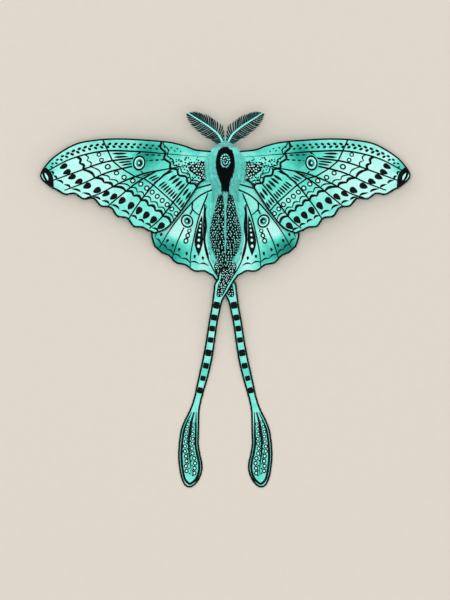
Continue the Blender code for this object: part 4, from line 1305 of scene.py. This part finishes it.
FOREWING_CLOUDS = [
    ((24.4, 47.4), (4.6, 4.2), 0.9),
    ((15.0, 49.0), (5.0, 2.5), 0.25),
    ((27.5, 41.0), (5.0, 4.5), 0.42),
    ((46.0, 41.0), (14.0, 8.0), -0.5),
    ((14.0, 38.0), (6.0, 6.0), 0.12),
    ((38.0, 50.5), (8.0, 2.0), 0.1),
    ((57.5, 43.5), (3.5, 3.0), 0.5),
]
HINDWING_CLOUDS = [
    ((19.8, 17.0), (4.8, 3.4), 1.1),
    ((14.6, 13.4), (5.0, 2.6), 0.5),
    ((15.6, 22.2), (3.6, 3.0), -0.65),
    # Paler beside the abdomen: partly the wing's own pale ground, partly painted light that lifts the shade
    # the abdomen casts there.
    ((6.5, 18.0), (3.0, 9.0), -0.35),
    ((-11.5, -50.5), (3.2, 9.5), 0.16),
    ((-7.0, -24.0), (4.0, 4.0), 0.2),
]


def cut_wing(outline, veins, marks):
    """The right wing laid flat: points, triangles, paints, and distances to the veins and the edge."""
    low, high = outline.min(0), outline.max(0)
    grid = []
    for j, y in enumerate(np.arange(low[1], high[1], GRID * GRID_ROW)):
        grid += [(x, y) for x in np.arange(low[0] + GRID / 2 * (j % 2), high[0], GRID)]
    grid = np.array(grid)
    shapes = [(outline, True)] + [(shape, True) for _, shape in marks]
    shapes += [(smooth(vein, 0.6), False) for vein in veins]
    points, edges = [], []
    for shape, closed in shapes:
        start, last = len(points), len(points) + len(shape) - 1
        points += [Vector(p) for p in shape]
        edges += [(i, i + 1) for i in range(start, last)]
        if closed:
            edges.append((last, start))
    points += [Vector(p) for p in grid[inside(grid, inset(outline, 0.25))]]
    made = delaunay_2d_cdt(points, edges, [], 0, 1e-3)
    flat = np.array([tuple(p) for p in made[0]])
    triangles = np.array(made[2])
    a, b, c = flat[triangles].transpose(1, 0, 2)
    turned = np.cross(b - a, c - a) < 0
    centres = flat[triangles].mean(1)
    triangles[turned] = triangles[turned][:, ::-1]
    within = inside(centres, outline)
    triangles, centres = triangles[within], centres[within]
    used, index = np.unique(triangles, return_inverse=True)
    flat, triangles = flat[used], index.reshape(-1, 3)
    paint = np.full(len(triangles), INK)
    for colour, shape in marks:
        near = np.nonzero(((centres > shape.min(0)) & (centres < shape.max(0))).all(1))[0]
        paint[near[inside(centres[near], shape)]] = colour
    to_vein = line_distance(flat, [smooth(v, 1.0) for v in veins])
    return flat, triangles, paint, to_vein, line_distance(flat, [np.vstack([outline, outline[:1]])])


def wing_piece(name, cut, height, clouds, side, material, replaced):
    """A thin closed wing. Its marks are faces of their own, so that they stay sharp."""
    flat, triangles, paint, to_vein, to_edge = cut
    x, y = flat.T
    ridge = VEIN_RISE * np.clip(1 - to_vein / VEIN_HALF_WIDTH, 0, 1)
    swell = VEIN_SWELL * (np.exp(-((to_vein / SWELL_WIDTH) ** 2)) - 0.5) * ramp(y, -2.0, 6.0)
    taper = EDGE_TAPER["share"] + (1 - EDGE_TAPER["share"]) * ramp(to_edge, 0, EDGE_TAPER["width"])
    half = np.where(y < 0, FLOOR_HALF_THICKNESS, HALF_THICKNESS) * taper
    middle = height(x, y)
    upper = np.stack([x * side, y, middle + half + ridge + swell], 1)
    lower = np.stack([x * side, y, np.maximum(middle - half + swell - VEIN_DIP * ridge, 0)], 1)
    directed = {(a, b) for t in triangles.tolist() for a, b in zip(t, t[1:] + t[:1])}
    border = np.array([(b, a) for a, b in sorted(directed) if (b, a) not in directed])
    count = len(flat)
    faces = [np.hstack([border, border[:, ::-1] + count])]
    faces.append(np.vstack([triangles, triangles[:, ::-1] + count]))
    if side < 0:
        faces = [rows[:, ::-1] for rows in faces]
    paints = np.concatenate([np.full(len(border), INK), paint, paint])
    values = {key: (paints == code).astype(float) for key, code in PAINTS.items()}
    cloud = {"cloud": np.tile(cloud_value(x, y, clouds), 2)}
    obj = new_piece(name, np.vstack([upper, lower]), faces, material, replaced, cloud, values)
    obj.data.set_sharp_from_angle(angle=SHARP_ANGLE)


def make_wings(material):
    fore, hind = forewing_outline(), hindwing_outline()
    fore = cut_wing(fore, FOREWING_VEINS, forewing_marks(fore))
    hind = cut_wing(hind, HINDWING_VEINS, hindwing_marks(hind))
    for name, side in SIDES.items():
        replaced = (f"forewing_{name}",)
        wing_piece(f"wing_fore_{name}", fore, forewing_height, FOREWING_CLOUDS, side, material, replaced)
        replaced = (f"hindwing_{name}", f"tail_{name}", f"tail_end_{name}")
        height = hindwing_height(side)
        wing_piece(f"wing_hind_{name}", hind, height, HINDWING_CLOUDS, side, material, replaced)


def make_fringe(material):
    """Short scales that stand out from the wings' edges, apart from the forewings' front ones."""
    fore, hind = forewing_outline(), hindwing_outline()
    start = len(smooth(FOREWING_FRONT, EDGE_PITCH)) - 4
    end = len(hind) - len(smooth(HINDWING_INNER, EDGE_PITCH))
    first = len(smooth(HINDWING_FRONT, EDGE_PITCH)) - 8
    for name, side in SIDES.items():
        edges = ((fore[start:-12], forewing_height, 0.46), (hind[first:end], hindwing_height(side), 0.28))
        chance = np.random.default_rng(SEED + 4)
        for label, (edge, height, reach) in zip(("fore", "hind"), edges):
            edge = resample(edge, int(length_of(edge) / FRINGE_PITCH))
            n = len(edge)
            out, way = normals(edge), tangents(edge)
            root = edge - out * chance.uniform(0.1, 0.35, n)[:, None]
            tip = root + out * (reach * chance.uniform(0.75, 1.25, n))[:, None]
            tip = tip + way * chance.normal(0, 0.07, n)[:, None]
            level = height(*root.T) + chance.uniform(-0.03, 0.07, n)
            roots = np.column_stack([root[:, 0] * side, root[:, 1], np.maximum(level, 0.06)])
            tips = np.column_stack([tip[:, 0] * side, tip[:, 1], np.maximum(level - 0.04, 0.05)])
            width = chance.uniform(0.07, 0.13, n)
            uv = (edge - edge.min(0)) / np.ptp(edge, axis=0) * 0.99
            ink = (chance.uniform(0, 1, n) < 0.95).astype(float)
            lines = hair_lines(roots, tips, np.zeros(n))
            tone = np.full(n, 0.6)
            add_coat(f"fringe_{label}_{name}", material, lines, width, ink, tone, uv)


# Feelers, eyes and legs.


def make_feelers(material):
    """Combed feelers: a mint shaft with dark rays to both sides of it."""
    for name, side in SIDES.items():
        chance = np.random.default_rng(SEED + 5)
        path = on_side(ANTENNA_PATH, side, SHAFT_STEP)
        beads = 1 + 0.08 * np.cos(2 * np.pi * np.arange(len(path)) / 4)
        bundle = Bundle()
        tube, quads, ends, _ = tube_parts(path, spread_over(path, ANTENNA_RADII) * beads, 10)
        bundle.add(tube, quads, ends, ink=0.0)
        stations = np.arange(RAY_START, SHAFT_STEP * (len(path) - 1) - RAY_START, RAY_PITCH)
        for k, station in enumerate(stations):
            for edge, hand, shift in (("inner", side, 0.0), ("outer", -side, 0.5)):
                i = min(int((station + shift * RAY_PITCH) / SHAFT_STEP), len(path) - 2)
                root = path[i]
                along = unit(path[i + 1] - path[i])
                normal = unit(np.array([-along[1], along[0], 0.0])) * hand
                reach = k / (len(stations) - 1)
                angle = math.radians(spread(RAY_ANGLES[edge], reach) + chance.normal(0, 1.0))
                lean = along * math.cos(angle) + normal * math.sin(angle)
                size = RAY_LENGTHS[edge] * spread(RAY_SHARES[edge], reach) * chance.uniform(0.97, 1.02)
                if lean[1] > 0:
                    size = min(size, (RAY_END_Y - root[1]) / lean[1])
                if lean[0] * side < 0:
                    size = min(size, (abs(root[0]) - RAY_FROM_MIDDLE) / -(lean[0] * side))
                add_ray(bundle, chance, root, lean, along, size)
        bundle.piece(f"feeler_{name}", material, (f"antenna_{name}",))


def add_ray(bundle, chance, root, lean, along, size):
    """One dark ray of the comb that hooks forward at its tip, with fine mint hairs to both sides of it."""
    t = np.append(np.linspace(0, 0.96, 13), (0.985, 1.0))
    hook = min(RAY_HOOK, 0.2 * size)
    path = root + lean * (size * t)[:, None] + along * (0.05 * size * t**2 + hook * t**6)[:, None]
    path[:, 2] -= RAY_SAG * t**2
    tube, quads, ends, _ = tube_parts(path, spread(RAY_RADII, t), 6, RAY_FLATNESS)
    bundle.add(tube, quads, ends, ink=1.0)
    n = max(8, int(size * HAIRS_PER_MM))
    starts = np.stack(read_at(chance.uniform(*HAIR_SPAN, n), t, path), 1)
    hand = np.where(np.arange(n) % 2 == 0, 1.0, -1.0)[:, None]
    slope = np.array(UP) * chance.uniform(-0.08, 0.08, n)[:, None]
    away = unit(lean * 0.4 + level_side(lean) * hand + slope)
    reach = chance.uniform(*HAIR_REACH, n)[:, None]
    side = level_side(away) * HAIR_HALF_WIDTH
    points = np.stack([starts + side, starts - side, starts + (0, 0, 0.03), starts + away * reach], 1)
    one = np.array([(0, 2, 3), (2, 1, 3), (1, 0, 3), (0, 1, 2)])
    triangles = (one[None] + 4 * np.arange(n)[:, None, None]).reshape(-1, 3)
    bundle.add(points.reshape(-1, 3), [], triangles, ink=0.0)


def make_eyes(material):
    rings, sides = 32, 48
    turns, a = np.linspace(0, np.pi, rings), 2 * np.pi * np.arange(sides) / sides
    ring = EYE_RADIUS * np.sin(turns)[:, None, None] * np.stack([0 * a, np.cos(a), np.sin(a)], 1)
    x, y, z = EYE_PLACE
    for name, side in SIDES.items():
        path = np.stack([(x + EYE_RADIUS * np.cos(turns)) * side, np.full(rings, y), np.full(rings, z)], 1)
        bundle = Bundle()
        bundle.add((path[:, None] + ring).reshape(-1, 3), ring_quads(rings, sides, sides)[:, ::-side], [])
        bundle.piece(f"ball_of_eye_{name}", material, (f"eye_{name}",))


def make_legs(material, coat):
    for place, joints in LEGS.items():
        for name, side in SIDES.items():
            chance = np.random.default_rng(SEED + 9)
            path = on_side(joints, side, 0.16)
            share = np.linspace(0, 1, len(path))
            knots = 1 + 0.1 * np.cos(2 * np.pi * share * 9) * ramp(share, 0.62, 0.7)
            radii = spread(LEG_RADII, share) * knots
            path[:, 2] = np.maximum(path[:, 2], radii)
            leg = f"leg_{place}_{name}"
            bundle = Bundle()
            tube, quads, ends, along = tube_parts(path, radii, 12)
            bundle.add(tube, quads, ends, ink=ramp(along, 0.6, 0.95) * 0.75)
            way = unit(path[-1] - path[-4])
            across, foot = level_side(way), path[-1]
            for hand in (1, -1):
                tip = foot + way * 0.5 + across * hand * 0.32 - np.array([0, 0, foot[2] - 0.05])
                claw = smooth([foot, foot + way * 0.3 + across * hand * 0.2 + (0, 0, 0.05), tip], 0.08)
                tube, quads, ends, _ = tube_parts(claw, np.linspace(*CLAW_RADII, len(claw)), 6)
                tube[:, 2] = np.maximum(tube[:, 2], 0.0)
                bundle.add(tube, quads, ends, ink=1.0)
            bundle.piece(f"limb_of_{leg}", material, (leg,))
            add_leg_coat(f"coat_of_{leg}", coat, chance, path, radii)


def add_leg_coat(name, material, chance, path, radii):
    """Short tufts along the thigh and shank."""
    n = LEG_TUFTS
    place = chance.uniform(0.02, 0.66, n)
    i = (place * (len(path) - 2)).astype(int)
    along = tangents(path)[i]
    across = level_side(along)
    up = np.cross(across, along)
    turn = chance.uniform(0, 2 * np.pi, n)[:, None]
    out = across * np.cos(turn) + up * np.sin(turn)
    length = (chance.uniform(0.55, 1.0, n) * (1.25 - 0.6 * place))[:, None]
    root = path[i] + out * (radii[i] * 0.85)[:, None]
    t = TUFT_PLACES[None, :, None]
    forward, outward = length[:, None] * t, 0.3 * length[:, None] * t * (1 - 0.35 * t)
    centres = root[:, None] + along[:, None] * forward + out[:, None] * outward
    centres[..., 2] = np.maximum(centres[..., 2], 0.03)
    side = np.broadcast_to(unit(np.cross(out, along))[:, None], centres.shape)
    lines = (centres, side, np.broadcast_to(out[:, None], centres.shape))
    width = chance.uniform(0.08, 0.13, n)
    tone = tones(chance, 0.4, n)
    ink = (chance.uniform(0, 1, n) < 0.25).astype(float)
    uv = np.stack([turn[:, 0] / (2 * np.pi) * 0.99, place], 1)
    add_coat(name, material, lines, width, ink, tone, uv, 0.6)


# The stage.


def make_stage():
    """A floor, an even white world and three round lamps that face the moth."""
    mesh = bpy.data.meshes.new("floor")
    half = FLOOR_SIZE / 2
    square = [(-half, -half, 0), (half, -half, 0), (half, half, 0), (-half, half, 0)]
    mesh.from_pydata(square, [], [(0, 1, 2, 3)])
    mesh.materials.append(floor_look())
    floor = place_in_scene("floor", mesh)
    floor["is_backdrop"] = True
    world = bpy.data.worlds.new("studio")
    world.use_nodes = True
    light = world.node_tree.nodes["Background"].inputs
    light["Color"].default_value = (1.0, 1.0, 1.0, 1.0)
    light["Strength"].default_value = WORLD_LIGHT
    bpy.context.scene.world = world
    for name, (place, size, power) in LAMPS.items():
        lamp = bpy.data.lights.new(name, "AREA")
        lamp.shape, lamp.size, lamp.energy = "DISK", size, power
        obj = place_in_scene(name, lamp)
        obj.location = place
        obj.rotation_euler = (-Vector(place)).to_track_quat("-Z", "Y").to_euler()
    bpy.context.scene.view_settings.view_transform = "Standard"


def make_camera():
    data = bpy.data.cameras.new("camera")
    data.sensor_width = SENSOR
    data.lens = SENSOR * CAMERA_HEIGHT / VIEW_HEIGHT
    data.clip_start, data.clip_end = 0.05, 10.0
    camera = place_in_scene("camera", data)
    camera.location = (*VIEW_CENTRE, CAMERA_HEIGHT + VIEW_LEVEL)
    bpy.context.scene.camera = camera


def corners(box):
    return [list(corner) for corner in box]


coat = coat_look()
make_skin(skin_look())
make_body_coat(coat)
make_shoulder_hair(coat)
make_wings(wing_look())
make_fringe(coat)
make_feelers(feeler_look())
make_eyes(eye_look())
make_legs(leg_look(), coat)
make_stage()
make_camera()
bpy.context.view_layer.update()
{"cad": corners(cad_box), "visual": corners(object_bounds())}
